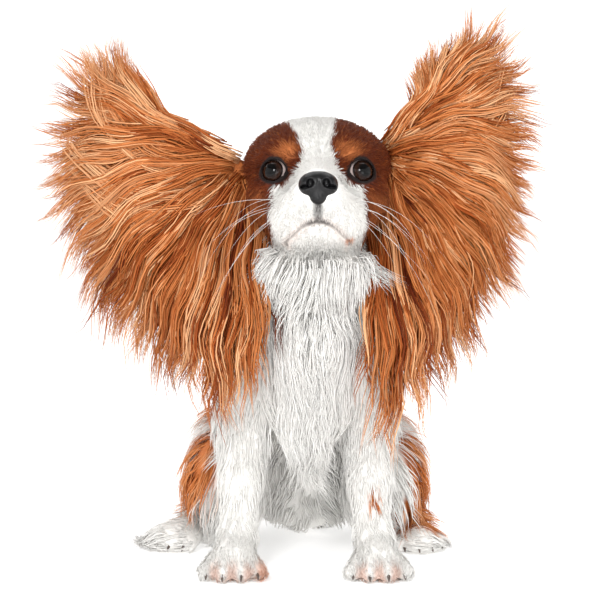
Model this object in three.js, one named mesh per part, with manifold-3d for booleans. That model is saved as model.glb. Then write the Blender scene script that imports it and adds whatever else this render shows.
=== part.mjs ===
// A life-size toy spaniel, sitting and facing ahead with both long-haired ears spread like wings.
// Millimetres. +X is the dog's left, -Y is ahead of it and +Z is up. The floor is at Z 0.
import * as THREE from "three";
import { mergeVertices } from "three/addons/utils/BufferGeometryUtils.js";
import Module from "manifold-3d";

const wasm = await Module();
wasm.setup();

// Driving dimensions
const GAP = 0.35;
const SEAM = 0.03;
const TOUCH = 0.02;
const HEAD_HEIGHT = 332;
const HEAD_AHEAD = 20;
const HEAD_PITCH = 14;
const EYE_SPREAD = 34;
const EYE_RADIUS = 12;
const NOSE_WIDTH = 30;
const FOOT_AXIS = -10;
const FORELEG_SPREAD = 58;
const HIND_SPREAD = 70;
const CHEST_HEIGHT = 190;
const CHEST_WIDTH = 116;
const RUMP_BEHIND = 112;
const PAW_LENGTH = 52;
const TAIL_RADIUS = 13;
const LOCK_THICKNESS = 5;
const EAR_CORE = 0.44;
const EAR_THICKNESS = 14;

// Each ear's fan of hair: pairs of the angle above level, in degrees, and the reach of the tips from its root.
const EARS = {
  ear_right: {
    side: -1,
    root: [-56, -6, 338],
    leather: 26,
    fan: [[40, 150], [33, 176], [12, 178], [-12, 180], [-30, 180], [-50, 194], [-70, 208], [-86, 214], [-97, 176]],
  },
  ear_left: {
    side: 1,
    root: [50, -6, 344],
    leather: 38,
    fan: [[66, 84], [52, 148], [44, 160], [26, 150], [0, 136], [-28, 148], [-54, 176], [-74, 202], [-86, 244], [-96, 200]],
  },
};

const vec = (p) => new THREE.Vector3(...p);
const lerp = THREE.MathUtils.lerp;
const smooth = THREE.MathUtils.smoothstep;
const radians = THREE.MathUtils.degToRad;

// Masses of flesh are distances to a ball or to a tapered limb, blended where they meet.
const ball = (at, radii) => (p) => {
  const q = p.clone().sub(vec(at));
  const k = q.clone().divide(vec(radii)).length();
  const slope = q.divide(vec(radii)).divide(vec(radii)).length();
  return slope < 1e-6 ? -Math.min(...radii) : (k * (k - 1)) / slope;
};
const limb = (from, to, radiusFrom, radiusTo) => (p) => {
  const a = vec(from);
  const along = vec(to).sub(a);
  const t = THREE.MathUtils.clamp(p.clone().sub(a).dot(along) / along.lengthSq(), 0, 1);
  return p.distanceTo(a.addScaledVector(along, t)) - lerp(radiusFrom, radiusTo, t);
};
const blend = (softness, parts) => (p) =>
  parts
    .map((part) => part(p))
    .reduce((a, b) => {
      const h = Math.max(softness - Math.abs(a - b), 0) / softness;
      return Math.min(a, b) - (h * h * softness) / 4;
    });
const pair = (make) => [make(-1), make(1)];

// A closed surface from rows of points between two poles, wound so that its faces point out.
function closedSurface(rows, startPole, endPole) {
  const sides = rows[0].length;
  const points = [startPole, ...rows.flat(), endPole];
  const at = (row, side) => 1 + row * sides + (side % sides);
  const faces = [];
  for (let side = 0; side < sides; side++) {
    faces.push(0, at(0, side + 1), at(0, side));
    faces.push(points.length - 1, at(rows.length - 1, side), at(rows.length - 1, side + 1));
    for (let row = 0; row + 1 < rows.length; row++) {
      faces.push(at(row, side), at(row, side + 1), at(row + 1, side + 1));
      faces.push(at(row, side), at(row + 1, side + 1), at(row + 1, side));
    }
  }
  const volume = (index) => {
    let sum = 0;
    for (let i = 0; i < index.length; i += 3) {
      sum += points[index[i]].dot(points[index[i + 1]].clone().cross(points[index[i + 2]]));
    }
    return sum;
  };
  const geometry = new THREE.BufferGeometry().setFromPoints(points);
  geometry.setIndex(volume(faces) < 0 ? faces.reverse() : faces);
  return geometry;
}

// The point where a ray from inside first leaves the flesh, found from outside inwards.
function outside(flesh, centre, direction, reach = 120, grow = 0) {
  let r = reach;
  for (let step = 0; step < 90; step++) {
    const d = flesh(centre.clone().addScaledVector(direction, r)) - grow;
    r -= d * 0.7;
    if (Math.abs(d) < 0.01) break;
  }
  return centre.clone().addScaledVector(direction, Math.max(r, 1));
}
function outward(flesh, p) {
  const slope = [[1, 0, 0], [0, 1, 0], [0, 0, 1]].map((axis) => {
    const step = vec(axis).multiplyScalar(0.5);
    return flesh(p.clone().add(step)) - flesh(p.clone().sub(step));
  });
  return vec(slope).normalize();
}

// Flesh wrapped round a spine: rays leave the spine squarely, and fan out over a cap at each end,
// and each vertex is where its ray meets the outside of the flesh.
function wrap(spine, flesh, { rings, caps = 3, sides, reach = 120, grow = 0 }) {
  const curve = new THREE.CatmullRomCurve3(spine.map(vec), false, "centripetal");
  const leans = [];
  for (let i = 1; i < caps; i++) leans.push([0, (i / caps - 1) * 90]);
  for (let i = 0; i <= rings; i++) leans.push([i / rings, 0]);
  for (let i = 1; i < caps; i++) leans.push([1, (i / caps) * 90]);
  const rows = leans.map(([t, lean]) => {
    const centre = curve.getPoint(t);
    const tangent = curve.getTangent(t);
    const across = new THREE.Vector3(1, 0, 0).projectOnPlane(tangent).normalize();
    const over = tangent.clone().cross(across);
    return Array.from({ length: sides }, (_, side) => {
      const turn = (side / sides) * 2 * Math.PI;
      const flat = across.clone().multiplyScalar(Math.cos(turn)).addScaledVector(over, Math.sin(turn));
      const direction = flat
        .multiplyScalar(Math.cos(radians(lean)))
        .addScaledVector(tangent, Math.sin(radians(lean)));
      return outside(flesh, centre, direction, reach, grow);
    });
  });
  const startPole = outside(flesh, curve.getPoint(0), curve.getTangent(0).negate(), reach, grow);
  const endPole = outside(flesh, curve.getPoint(1), curve.getTangent(1), reach, grow);
  return closedSurface(rows, startPole, endPole);
}

// A rod with three sides along points: face gives the way its ridge points at each of them.
function rod(points, face, halfWidth, ridge, grow = 0) {
  const last = points.length - 1;
  const rows = points.map((p, i) => {
    const along = points[Math.min(i + 1, last)].clone().sub(points[Math.max(i - 1, 0)]).normalize();
    const across = face[i].clone().cross(along).normalize();
    const out = along.clone().cross(across).normalize();
    const w = halfWidth(i / last) + grow * 1.6;
    return [
      p.clone().addScaledVector(across, w).addScaledVector(out, -grow),
      p.clone().addScaledVector(out, ridge(i / last) + grow * 1.6),
      p.clone().addScaledVector(across, -w).addScaledVector(out, -grow),
    ];
  });
  const tip = (row, from, to) => {
    const middle = row[0].clone().add(row[1]).add(row[2]).divideScalar(3);
    const reach = row[0].distanceTo(row[2]) / 2 + grow * 2;
    return middle.addScaledVector(points[from].clone().sub(points[to]).normalize(), reach);
  };
  return closedSurface(rows, tip(rows[0], 0, 1), tip(rows[last], last, last - 1));
}

// A flat lock of hair: narrow at its root, widest a third of the way along, and drawn out to a tip.
function lock(points, face, width, grow) {
  const swell = (t) => (t < 0.35 ? lerp(0.6, 1, t / 0.35) : lerp(1, 0.12, ((t - 0.35) / 0.65) ** 1.4));
  return rod(
    points,
    face,
    (t) => (swell(t) * width) / 2,
    (t) => LOCK_THICKNESS * lerp(1, 0.2, t),
    grow,
  );
}

// A lock that starts inside the flesh at a root, follows a flow, and is pushed clear of the body and the floor.
function fallingLock(flesh, root, flow, { length, width, lift = 4, sink = 4, steps = 3 }) {
  const start = outward(flesh, root);
  const points = [root.clone().addScaledVector(start, -sink)];
  const face = [start];
  let p = root.clone();
  for (let step = 1; step <= steps; step++) {
    p = p.clone().addScaledVector(flow(p, step / steps).normalize(), length / steps);
    for (let push = 0; push < 3; push++) {
      const depth = flesh(p) - (lift * step) / steps;
      if (depth < 0) p.addScaledVector(outward(flesh, p), -depth);
    }
    p.z = Math.max(p.z, 1.5);
    points.push(p);
    face.push(outward(flesh, p));
  }
  return (grow) => lock(points, face, width, grow);
}

// Seeded random draws, so that each build is the same.
function draws(seed) {
  let state = seed;
  return (low, high) => {
    state = (state * 1664525 + 1013904223) % 4294967296;
    return lerp(low, high, state / 4294967296);
  };
}

function solidOf(geometry) {
  const bare = geometry.clone();
  bare.deleteAttribute("normal");
  bare.deleteAttribute("uv");
  const merged = mergeVertices(bare, 1e-4);
  return new wasm.Manifold(
    new wasm.Mesh({
      numProp: 3,
      vertProperties: new Float32Array(merged.attributes.position.array),
      triVerts: new Uint32Array(merged.index.array),
    }),
  );
}

// Where two sheets of a surface only touch, each draws back a hair, so that the surface stays closed.
function geometryOf(solid) {
  const mesh = solid.getMesh();
  const geometry = new THREE.BufferGeometry();
  geometry.setAttribute("position", new THREE.BufferAttribute(Float32Array.from(mesh.vertProperties), 3));
  geometry.setIndex(new THREE.BufferAttribute(Uint32Array.from(mesh.triVerts), 1));
  geometry.computeVertexNormals();
  const { position, normal } = geometry.attributes;
  const sharers = new Map();
  const spot = (i) => [position.getX(i), position.getY(i), position.getZ(i)].map((v) => v.toFixed(2)).join();
  for (let i = 0; i < position.count; i++) sharers.set(spot(i), (sharers.get(spot(i)) ?? 0) + 1);
  for (let i = 0; i < position.count; i++) {
    if (sharers.get(spot(i)) === 1) continue;
    const p = new THREE.Vector3().fromBufferAttribute(position, i);
    p.addScaledVector(new THREE.Vector3().fromBufferAttribute(normal, i), -TOUCH);
    position.setXYZ(i, p.x, p.y, p.z);
  }
  return geometry;
}

// Materials
const fur = (color) => new THREE.MeshStandardMaterial({ color, roughness: 0.8, metalness: 0 });
const CHESTNUT = fur(0xa8602f);
const WHITE = fur(0xf1efea);
const NOSE_LEATHER = new THREE.MeshStandardMaterial({ color: 0x24221f, roughness: 0.45, metalness: 0 });
const EYE_GLOSS = new THREE.MeshStandardMaterial({ color: 0x1c1210, roughness: 0.08, metalness: 0 });

const floorBox = new THREE.BoxGeometry(1200, 1200, 900).translate(0, 0, 450);
const aboveFloor = solidOf(floorBox);
const model = new THREE.Group();
const placed = [];

// Joins a node's pieces, cuts it clear of what is placed already and of the floor, and keeps one body.
// Each piece is a function of how far it is grown, so that its neighbours keep the gap to it.
function place(name, material, pieces, cuts = []) {
  const together = (grow) => wasm.Manifold.union(pieces.map((piece) => solidOf(piece(grow))));
  let solid = together(0).intersect(aboveFloor);
  for (const tool of cuts) solid = solid.subtract(solidOf(tool));
  const box = solid.boundingBox();
  for (const other of placed) {
    const apart = [0, 1, 2].some((k) => other.box.min[k] > box.max[k] || other.box.max[k] < box.min[k]);
    if (!apart) solid = solid.subtract(other.clearance);
  }
  const bodies = solid.setTolerance(SEAM).decompose().sort((a, b) => b.volume() - a.volume());
  const clearance = together(GAP).add(together(0));
  placed.push({ clearance, box: clearance.boundingBox() });
  const mesh = new THREE.Mesh(geometryOf(bodies[0]), material);
  mesh.name = name;
  model.add(mesh);
}

// The head, in its own frame with the muzzle along -Y, pitched nose up.
const headFrame = new THREE.Matrix4()
  .makeTranslation(0, -HEAD_AHEAD, HEAD_HEIGHT)
  .multiply(new THREE.Matrix4().makeRotationX(-radians(HEAD_PITCH)));
const intoHead = headFrame.clone().invert();
const onHead = (geometry) => geometry.applyMatrix4(headFrame);
const eyeAt = (side) => [side * EYE_SPREAD, -38, -9];
const eyeAxis = (side) => new THREE.Vector3(side * 0.3, -0.94, 0.12).normalize();

const headFlesh = blend(11, [
  ball([0, 0, 5], [61, 52, 41]),
  limb([0, -36, -10], [0, -78, -25], 20, 13),
  ball([0, -54, -60], [20, 25, 15]),
  ball([0, -18, -46], [42, 40, 30]),
  ...pair((s) => ball([s * 26, -32, 6], [20, 16, 13])),
  ...pair((s) => ball([s * 35, -20, -26], [24, 28, 25])),
  ...pair((s) => limb([s * 11, -74, -38], [s * 20, -48, -50], 14, 21)),
]);
const headSpine = [[0, 2, 0], [0, -34, -16], [0, -70, -38]];

// The lips part along a line that dips from under the nose to each corner of the mouth.
const lipLine = [[-31, -50, -70], [-22, -66, -66], [-11, -78, -58], [0, -82, -53], [11, -78, -58], [22, -66, -66], [31, -50, -70]];
function groove(pins, steps, width, depth) {
  const curve = new THREE.CatmullRomCurve3(pins.map(vec));
  const away = curve.getPoints(steps).map((p) => p.clone().sub(vec([0, -40, p.z])).setZ(0).normalize());
  const points = curve.getPoints(steps).map((p, i) => {
    const inside = p.clone().addScaledVector(away[i], -15);
    return outside(headFlesh, inside, away[i], 40).addScaledVector(away[i], -depth);
  });
  return onHead(rod(points, away, () => width / 2, () => depth * 2.5));
}
const philtrum = [[0, -88, -43], [0, -85, -49], [0, -82, -55]];

function lidRing(side, grow) {
  const axis = eyeAxis(side);
  const ring = new THREE.TorusGeometry(EYE_RADIUS, 2.3 + grow, 4, 14).scale(1, 0.93, 1);
  ring.applyQuaternion(new THREE.Quaternion().setFromUnitVectors(new THREE.Vector3(0, 0, 1), axis));
  const at = vec(eyeAt(side)).addScaledVector(axis, 4.6);
  return onHead(ring.translate(at.x, at.y, at.z));
}
const eyeBall = (side) => (grow) =>
  onHead(new THREE.SphereGeometry(EYE_RADIUS + grow, 12, 8).translate(...eyeAt(side)));

const noseFlesh = blend(3, [
  ball([0, -83, -27], [NOSE_WIDTH / 2, 10, 10.5]),
  ball([0, -84, -37], [8, 7, 7]),
  ...pair((s) => ball([s * 8.5, -86, -29], [7, 7.5, 8])),
]);
const nostrils = pair((s) => [
  onHead(new THREE.SphereGeometry(1, 6, 5).scale(3, 5, 4.2).translate(s * 6.4, -94, -28)),
  onHead(new THREE.SphereGeometry(1, 6, 4).scale(4, 6, 1.5).translate(s * 10.6, -91, -31)),
]).flat();

// The trunk: an inclined rib cage, a deep brisket, shoulders and the pelvis it sits on.
const trunkFlesh = blend(24, [
  limb([-3, -20, CHEST_HEIGHT + 14], [FOOT_AXIS, 84, 98], CHEST_WIDTH / 2, 62),
  ball([-4, -44, CHEST_HEIGHT - 26], [46, 42, 60]),
  ball([FOOT_AXIS, RUMP_BEHIND, 58], [62, 50, 60]),
  ...pair((s) => ball([-5 + s * 46, -26, CHEST_HEIGHT - 10], [26, 38, 50])),
]);
const neckFlesh = blend(16, [
  limb([-2, -6, 216], [0, -2, 306], 49, 44),
  ball([-1, -56, 238], [48, 36, 40]),
]);
const bibFlesh = blend(14, [
  limb([-3, -72, 200], [-7, -66, 135], 31, 24),
  limb([-7, -66, 135], [-9, -58, 110], 24, 12),
]);

// Each leg's own joints and masses, by side: -1 is the dog's right and 1 its left.
function foreleg(side) {
  const x = (spread) => FOOT_AXIS + side * spread;
  const shoulder = [x(44), -44, CHEST_HEIGHT];
  const elbow = [x(50), -34, 118];
  const forearm = [x(54), -48, 76];
  const wrist = [x(FORELEG_SPREAD - 2), -58, 34];
  const flesh = blend(10, [
    limb(shoulder, elbow, 30, 24),
    limb(elbow, forearm, 23, 17.5),
    limb(forearm, wrist, 17.5, 16),
  ]);
  const pawX = x(FORELEG_SPREAD + 2);
  const toe = (spread, back) => limb([pawX + spread * 0.6, -76, 12], [pawX + spread, -98 + back, 8], 11, 8.5);
  const pawFlesh = blend(5, [
    limb([pawX - side * 3, -60, 26], [pawX, -80, 14], 17, 18),
    toe(-21, 7),
    toe(-7.5, 0),
    toe(7.5, 0),
    toe(21, 7),
  ]);
  return { x, pawX, flesh, spine: [shoulder, elbow, forearm, wrist], pawFlesh, pawSpine: [[pawX, -64, 16], [pawX, -86, 11]] };
}
function hindLeg(side) {
  const x = (spread) => FOOT_AXIS + side * spread;
  const flesh = blend(22, [
    ball([x(HIND_SPREAD - 4), 66, 66], [36, 56, 57]),
    ball([x(HIND_SPREAD + 3), 14, 70], [27, 29, 33]),
    limb([x(HIND_SPREAD + 6), 24, 52], [x(HIND_SPREAD), 92, 22], 22, 17),
  ]);
  const heel = [x(HIND_SPREAD + 12), 72, 18];
  const toes = side < 0 ? [x(HIND_SPREAD + 46), 22, 11] : [x(HIND_SPREAD + 30), 16, 11];
  const forward = vec(toes).sub(vec(heel)).setZ(0).normalize();
  const across = new THREE.Vector3(-forward.y, forward.x, 0);
  const toe = (spread, length) => {
    const from = vec(toes).addScaledVector(across, spread * 0.5).addScaledVector(forward, -14);
    const to = vec(toes).addScaledVector(across, spread).addScaledVector(forward, length);
    return limb(from.toArray(), to.setZ(8.5).toArray(), 11, 8.5);
  };
  const footFlesh = blend(5, [limb(heel, toes, 15, 14), toe(-17, 0), toe(-6, 6), toe(6, 6), toe(17, 0)]);
  const spine = [[x(HIND_SPREAD), 24, 64], [x(HIND_SPREAD - 2), 80, 56]];
  return { x, flesh, spine, footFlesh, footSpine: [heel, toes], forward };
}
const forelegs = { right: foreleg(-1), left: foreleg(1) };
const hindLegs = { right: hindLeg(-1), left: hindLeg(1) };
const tailPath = [[FOOT_AXIS, 156, 40], [-20, 190, 20], [-52, 220, 15], [-92, 234, 13]];
const tailFlesh = blend(8, [
  limb(tailPath[0], tailPath[1], TAIL_RADIUS + 3, TAIL_RADIUS + 2),
  limb(tailPath[1], tailPath[2], TAIL_RADIUS + 2, TAIL_RADIUS),
  limb(tailPath[2], tailPath[3], TAIL_RADIUS, TAIL_RADIUS - 5),
]);

// Everything that a lock has to fall clear of.
const legs = [...Object.values(forelegs), ...Object.values(hindLegs)];
const headInPlace = (p) => headFlesh(p.clone().applyMatrix4(intoHead));
const masses = [
  headInPlace,
  trunkFlesh,
  neckFlesh,
  bibFlesh,
  tailFlesh,
  ...legs.flatMap((leg) => [leg.flesh, leg.pawFlesh ?? leg.footFlesh]),
];
const wholeBody = (p) => Math.min(...masses.map((mass) => mass(p)));

// Locks rooted where rays from a centre leave the flesh.
function locksOn(flesh, rays, flow, shape, random) {
  return rays.map(([centre, direction]) => {
    const root = outside(flesh, vec(centre), vec(direction).normalize());
    const own = { ...shape, length: shape.length * random(0.85, 1.12), width: shape.width * random(0.85, 1.15) };
    const turn = new THREE.Vector3(random(-0.2, 0.2), random(-0.2, 0.2), random(-0.1, 0.1));
    return fallingLock(wholeBody, root, (p, t) => flow(p, t, root).add(turn), own);
  });
}

// A ring of rays round a centre, from one turn to another in degrees, with 0 straight ahead.
const ring = (centre, count, from, to, rise = 0) =>
  Array.from({ length: count }, (_, i) => {
    const turn = radians(lerp(from, to, (i + 0.5) / count));
    return [centre, [Math.sin(turn), -Math.cos(turn), rise]];
  });

place("eye_right", EYE_GLOSS, [eyeBall(-1)]);
place("eye_left", EYE_GLOSS, [eyeBall(1)]);
place(
  "nose",
  NOSE_LEATHER,
  [(grow) => onHead(wrap([[0, -78, -29], [0, -80, -30]], noseFlesh, { rings: 2, caps: 4, sides: 14, reach: 40, grow }))],
  nostrils,
);
place(
  "head",
  CHESTNUT,
  [
    (grow) => onHead(wrap(headSpine, headFlesh, { rings: 11, caps: 5, sides: 24, grow })),
    (grow) => lidRing(-1, grow),
    (grow) => lidRing(1, grow),
  ],
  [groove(lipLine, 8, 2.4, 1.6), groove(philtrum, 1, 2.2, 1.2)],
);

// The back and flanks carry flat locks that lie towards the tail, and longer ones below the ribs.
const random = draws(7);
const backward = (p) => new THREE.Vector3(0.25 * Math.sign(p.x - FOOT_AXIS), 0.75, -0.75);
const downward = (p) => new THREE.Vector3(0.1 * Math.sign(p.x - FOOT_AXIS), -0.1, -1);
place("torso", WHITE, [
  (grow) => wrap([[-4, -24, 196], [-7, 30, 140], [FOOT_AXIS, 100, 70]], trunkFlesh, { rings: 7, caps: 3, sides: 18, grow }),
  ...locksOn(
    trunkFlesh,
    [6, 48, 88].flatMap((y, row) => ring([-8, y, 150 - y * 0.7], 5, 95 + row * 6, 265 - row * 6, 0.55)),
    backward,
    { length: 56, width: 26, lift: 6, steps: 2 },
    random,
  ),
  ...locksOn(
    trunkFlesh,
    [-1, 1].flatMap((s) => [12, 42].map((y) => [[-8, y, 120 - y * 0.3], [s, 0, -0.9]])),
    downward,
    { length: 42, width: 20, lift: 4, steps: 2 },
    random,
  ),
]);

// The neck, under a ruff whose locks part below the chin and curl outwards.
const ruffFlow = (p) => new THREE.Vector3(p.x * 0.016, -0.25, -1);
place("neck", WHITE, [
  (grow) => wrap([[-2, -16, 214], [-1, -14, 260], [0, -8, 300]], neckFlesh, { rings: 4, caps: 3, sides: 16, grow }),
  ...locksOn(
    neckFlesh,
    [
      ...ring([-1, -40, 268], 5, -88, 88),
      ...ring([-1, -46, 244], 6, -94, 94),
      ...ring([-2, -44, 218], 5, -84, 84),
    ],
    ruffFlow,
    { length: 58, width: 24, lift: 12 },
    random,
  ),
  ...locksOn(neckFlesh, ring([-1, -6, 258], 4, 100, 260), backward, { length: 50, width: 30, lift: 5, steps: 2 }, random),
]);

// Forelegs, feathered behind and outside, down to paws that turn a little outwards.
for (const [name, leg] of Object.entries(forelegs)) {
  const side = name === "right" ? -1 : 1;
  const feather = (p) => new THREE.Vector3(side * 0.34, 0.22, -1);
  place(`foreleg_${name}`, WHITE, [
    (grow) => wrap(leg.spine, leg.flesh, { rings: 6, caps: 3, sides: 12, grow }),
    ...locksOn(
      leg.flesh,
      [
        ...[146, 104].map((z) => [[leg.x(50), -40, z], [side, 0.25, 0]]),
        ...[128, 102, 78].map((z) => [[leg.x(50), -40, z], [side * 0.35, 1, 0]]),
      ],
      feather,
      { length: 50, width: 18, lift: 9, steps: 2 },
      random,
    ),
  ]);
  place(`forepaw_${name}`, WHITE, [
    (grow) => wrap(leg.pawSpine, leg.pawFlesh, { rings: 3, caps: 3, sides: 16, grow }),
    ...locksOn(
      leg.pawFlesh,
      [-1, 1].map((s) => [[leg.pawX, -60, 18], [s, 0.5, -0.1]]),
      () => new THREE.Vector3(side * 0.5, 0.5, -0.9),
      { length: 18, width: 10, lift: 5, steps: 2 },
      random,
    ),
  ]);
}

// Hind legs, folded beside the pelvis, with the feet turned out and slippers of hair on them.
for (const [name, leg] of Object.entries(hindLegs)) {
  const side = name === "right" ? -1 : 1;
  place(`thigh_${name}`, WHITE, [
    (grow) => wrap(leg.spine, leg.flesh, { rings: 4, caps: 4, sides: 14, grow }),
    ...locksOn(
      leg.flesh,
      [26, 74].flatMap((y) => [
        [[leg.x(60), y, 66], [side, 0, 0.7]],
        [[leg.x(60), y, 62], [side, 0, 0]],
        [[leg.x(60), y, 56], [side, 0, -0.7]],
      ]),
      () => new THREE.Vector3(side * 0.22, 0.35, -1),
      { length: 50, width: 26, lift: 8, steps: 2 },
      random,
    ),
  ]);
  const sweep = side < 0 ? 56 : 30;
  place(`hind_foot_${name}`, WHITE, [
    (grow) => wrap(leg.footSpine, leg.footFlesh, { rings: 3, caps: 3, sides: 14, grow }),
    ...locksOn(
      leg.footFlesh,
      [0.2, 0.6, 1].map((t) => {
        const at = vec(leg.footSpine[0]).lerp(vec(leg.footSpine[1]), t);
        return [at.toArray(), [side, -0.4 - t * 0.4, -0.15]];
      }),
      () => leg.forward.clone().multiplyScalar(0.6).add(vec([side, -0.25, -0.3])),
      { length: sweep, width: 18, lift: 4, steps: 2 },
      random,
    ),
  ]);
}

// The tail lies on the floor behind the right haunch, feathered to a plume.
const tailCurve = new THREE.CatmullRomCurve3(tailPath.map(vec));
place("tail", WHITE, [
  (grow) => wrap(tailPath, tailFlesh, { rings: 5, caps: 3, sides: 10, grow }),
  ...[-1, 1].flatMap((s) =>
    Array.from({ length: 4 }, (_, i) => {
      const t = 0.22 + (i * 0.8) / 4;
      const along = tailCurve.getTangent(t);
      const out = new THREE.Vector3(-along.y, along.x, -0.15).multiplyScalar(s);
      const root = outside(tailFlesh, tailCurve.getPoint(t), out.clone().setZ(0).normalize(), 40);
      const flow = (p, u) => along.clone().addScaledVector(out, 0.75 - 0.4 * u).add(vec([0, 0, -0.2]));
      return fallingLock(wholeBody, root, flow, { length: random(50, 64), width: 24, lift: 4 });
    }),
  ),
  ...[-0.3, 0.4].map((lean) => {
    const flow = () => tailCurve.getTangent(1).add(vec([0, lean, -0.06]));
    return fallingLock(wholeBody, vec(tailPath[3]), flow, { length: 40, width: 14, lift: 1 });
  }),
]);

// The bib of long hair hangs from the breast to between the forelegs.
const bibFlow = (p, t, root) => new THREE.Vector3((root.x + 5) * 0.004 * (1 - 2 * t), lerp(-0.35, 0.1, t), -1);
place("chest", WHITE, [
  (grow) => wrap([[-3, -72, 196], [-6, -68, 150], [-9, -60, 112]], bibFlesh, { rings: 5, caps: 3, sides: 12, grow }),
  ...locksOn(
    bibFlesh,
    [
      ...ring([-4, -66, 188], 5, -84, 84),
      ...ring([-5, -66, 154], 6, -88, 88),
      ...ring([-8, -62, 120], 4, -96, 96),
    ],
    bibFlow,
    { length: 66, width: 22, lift: 9 },
    random,
  ),
]);

// Ears: a sheet of hair that fans out from the root, and bends forward to hang clear of the shoulder.
function earSheet(ear, angle, distance) {
  const x = ear.root[0] + ear.side * Math.cos(radians(angle)) * distance;
  const z = ear.root[2] + Math.sin(radians(angle)) * distance;
  const overShoulder = 1 - smooth(z, 195, 290);
  const beside = 1 - smooth(Math.abs(x), 84, 150);
  const cup = 10 * Math.sin((Math.PI * distance) / 190);
  return new THREE.Vector3(x, ear.root[1] - cup - 92 * overShoulder * beside, z);
}
function reachAt(ear, angle) {
  const k = ear.fan.findIndex((pin) => pin[0] < angle);
  if (k < 1) return ear.fan[k < 0 ? ear.fan.length - 1 : 0][1];
  const [[a, ra], [b, rb]] = [ear.fan[k - 1], ear.fan[k]];
  return lerp(ra, rb, (angle - a) / (b - a));
}

// The ear leather and its densest hair, a lens in section along each ray of the fan.
function earCore(ear, grow) {
  const top = ear.fan[0][0];
  const bottom = ear.fan[ear.fan.length - 1][0];
  const rays = 10;
  const section = 8;
  const rows = [];
  for (let i = 1; i < rays; i++) {
    const angle = lerp(top, bottom, i / rays);
    const reach = reachAt(ear, angle) * EAR_CORE;
    rows.push(
      Array.from({ length: section }, (_, k) => {
        const turn = (k / section) * 2 * Math.PI;
        const along = 4 + ((reach - 4) * (1 - Math.cos(turn))) / 2 + grow * -Math.cos(turn);
        const p = earSheet(ear, angle, Math.max(along, 0.5));
        p.y += Math.sin(turn) * (EAR_THICKNESS / 2 + grow);
        return p;
      }),
    );
  }
  const pole = (angle) => earSheet(ear, angle, (reachAt(ear, angle) * EAR_CORE) / 2);
  return closedSurface(rows, pole(top + grow), pole(bottom - grow));
}

// One layer of an ear's locks: they leave the leather along the fan, droop a little and end in wavy tips.
function earLocks(ear, { count, depth, start, share, width }, chance) {
  const top = ear.fan[0][0];
  const bottom = ear.fan[ear.fan.length - 1][0];
  return Array.from({ length: count }, (_, i) => {
    const share01 = (i + 0.5) / count;
    const tipAngle = lerp(top - 1, bottom + 1, share01) + chance(-1.2, 1.2);
    const droop = 15 * Math.sin(Math.PI * share01 ** 0.8);
    const rootAngle = Math.min(tipAngle + droop, top - 3);
    const reach = reachAt(ear, tipAngle) * share * chance(0.9, 1.06);
    const phase = chance(0, 2 * Math.PI);
    const at = (t) => {
      const wave = 2.2 * Math.sin(t * 7 + phase) * t;
      const angle = lerp(rootAngle, tipAngle, t ** 1.5) + wave;
      const p = earSheet(ear, angle, lerp(reachAt(ear, rootAngle) * start, reach, t));
      p.y += depth;
      for (let push = 0; push < 3; push++) {
        const near = wholeBody(p) - 6 * t;
        if (near < 0 && t > 0) p.addScaledVector(outward(wholeBody, p), -near);
      }
      return p;
    };
    const points = [0, 0.34, 0.68, 1].map(at);
    const facing = new THREE.Vector3(0, depth > 0 ? 1 : -1, 0);
    return (grow) => lock(points, points.map(() => facing), width, grow);
  });
}

// Each ear's cup is the hollow of the leather, behind it near its root.
for (const [name, ear] of Object.entries(EARS)) {
  const chance = draws(ear.side + 40);
  const cup = new THREE.SphereGeometry(1, 14, 8).scale(20, 9, 24);
  place(
    name,
    CHESTNUT,
    [
      (grow) => earCore(ear, grow),
      ...earLocks(ear, { count: 9, depth: -5, start: 0.26, share: 0.82, width: 30 }, chance),
      ...earLocks(ear, { count: 12, depth: 0, start: 0.34, share: 1, width: 30 }, chance),
      ...earLocks(ear, { count: 7, depth: 5, start: 0.28, share: 0.94, width: 32 }, chance),
    ],
    [cup.translate(ear.root[0] + ear.side * ear.leather, ear.root[1] + 9, ear.root[2] - 16)],
  );
}

// The origin is moved to the middle of the footprint, on the floor.
const bounds = new THREE.Box3().setFromObject(model);
const middle = bounds.getCenter(new THREE.Vector3());
model.position.set(-middle.x, -middle.y, -bounds.min.z);

export default model;
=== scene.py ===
"""A sitting toy spaniel, life size: a skin in place of its plain solids, finer eyes and nose, claws, whiskers
and a coat of mesh strands."""

import math

import bpy
import numpy as np
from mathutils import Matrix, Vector


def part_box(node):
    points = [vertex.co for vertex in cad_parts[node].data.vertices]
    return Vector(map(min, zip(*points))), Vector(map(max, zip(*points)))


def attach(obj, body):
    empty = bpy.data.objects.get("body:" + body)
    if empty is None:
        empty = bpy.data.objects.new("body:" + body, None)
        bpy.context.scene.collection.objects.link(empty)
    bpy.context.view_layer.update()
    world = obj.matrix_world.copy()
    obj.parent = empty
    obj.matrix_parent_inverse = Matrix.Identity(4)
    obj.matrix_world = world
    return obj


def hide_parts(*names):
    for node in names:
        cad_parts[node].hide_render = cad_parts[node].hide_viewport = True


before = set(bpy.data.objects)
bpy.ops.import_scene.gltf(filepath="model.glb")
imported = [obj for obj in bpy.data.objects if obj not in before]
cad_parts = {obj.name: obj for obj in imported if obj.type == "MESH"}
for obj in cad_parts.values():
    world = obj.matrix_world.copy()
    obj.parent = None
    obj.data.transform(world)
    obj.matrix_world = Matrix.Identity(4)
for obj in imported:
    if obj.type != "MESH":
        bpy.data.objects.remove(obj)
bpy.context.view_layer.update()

# Place of the dog
# Its shapes are given in millimetres from its own middle line, with +X to its left, -Y ahead and +Z up.
# The two eyes of the frame say where that line and the head stand.
HEAD_AT = np.array([0.0, -20.0, 332.0])
HEAD_PITCH = math.radians(14)
EYE_AT = np.array([34.0, -38.0, -9.0])
EYE_RADIUS = 12.0


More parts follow.
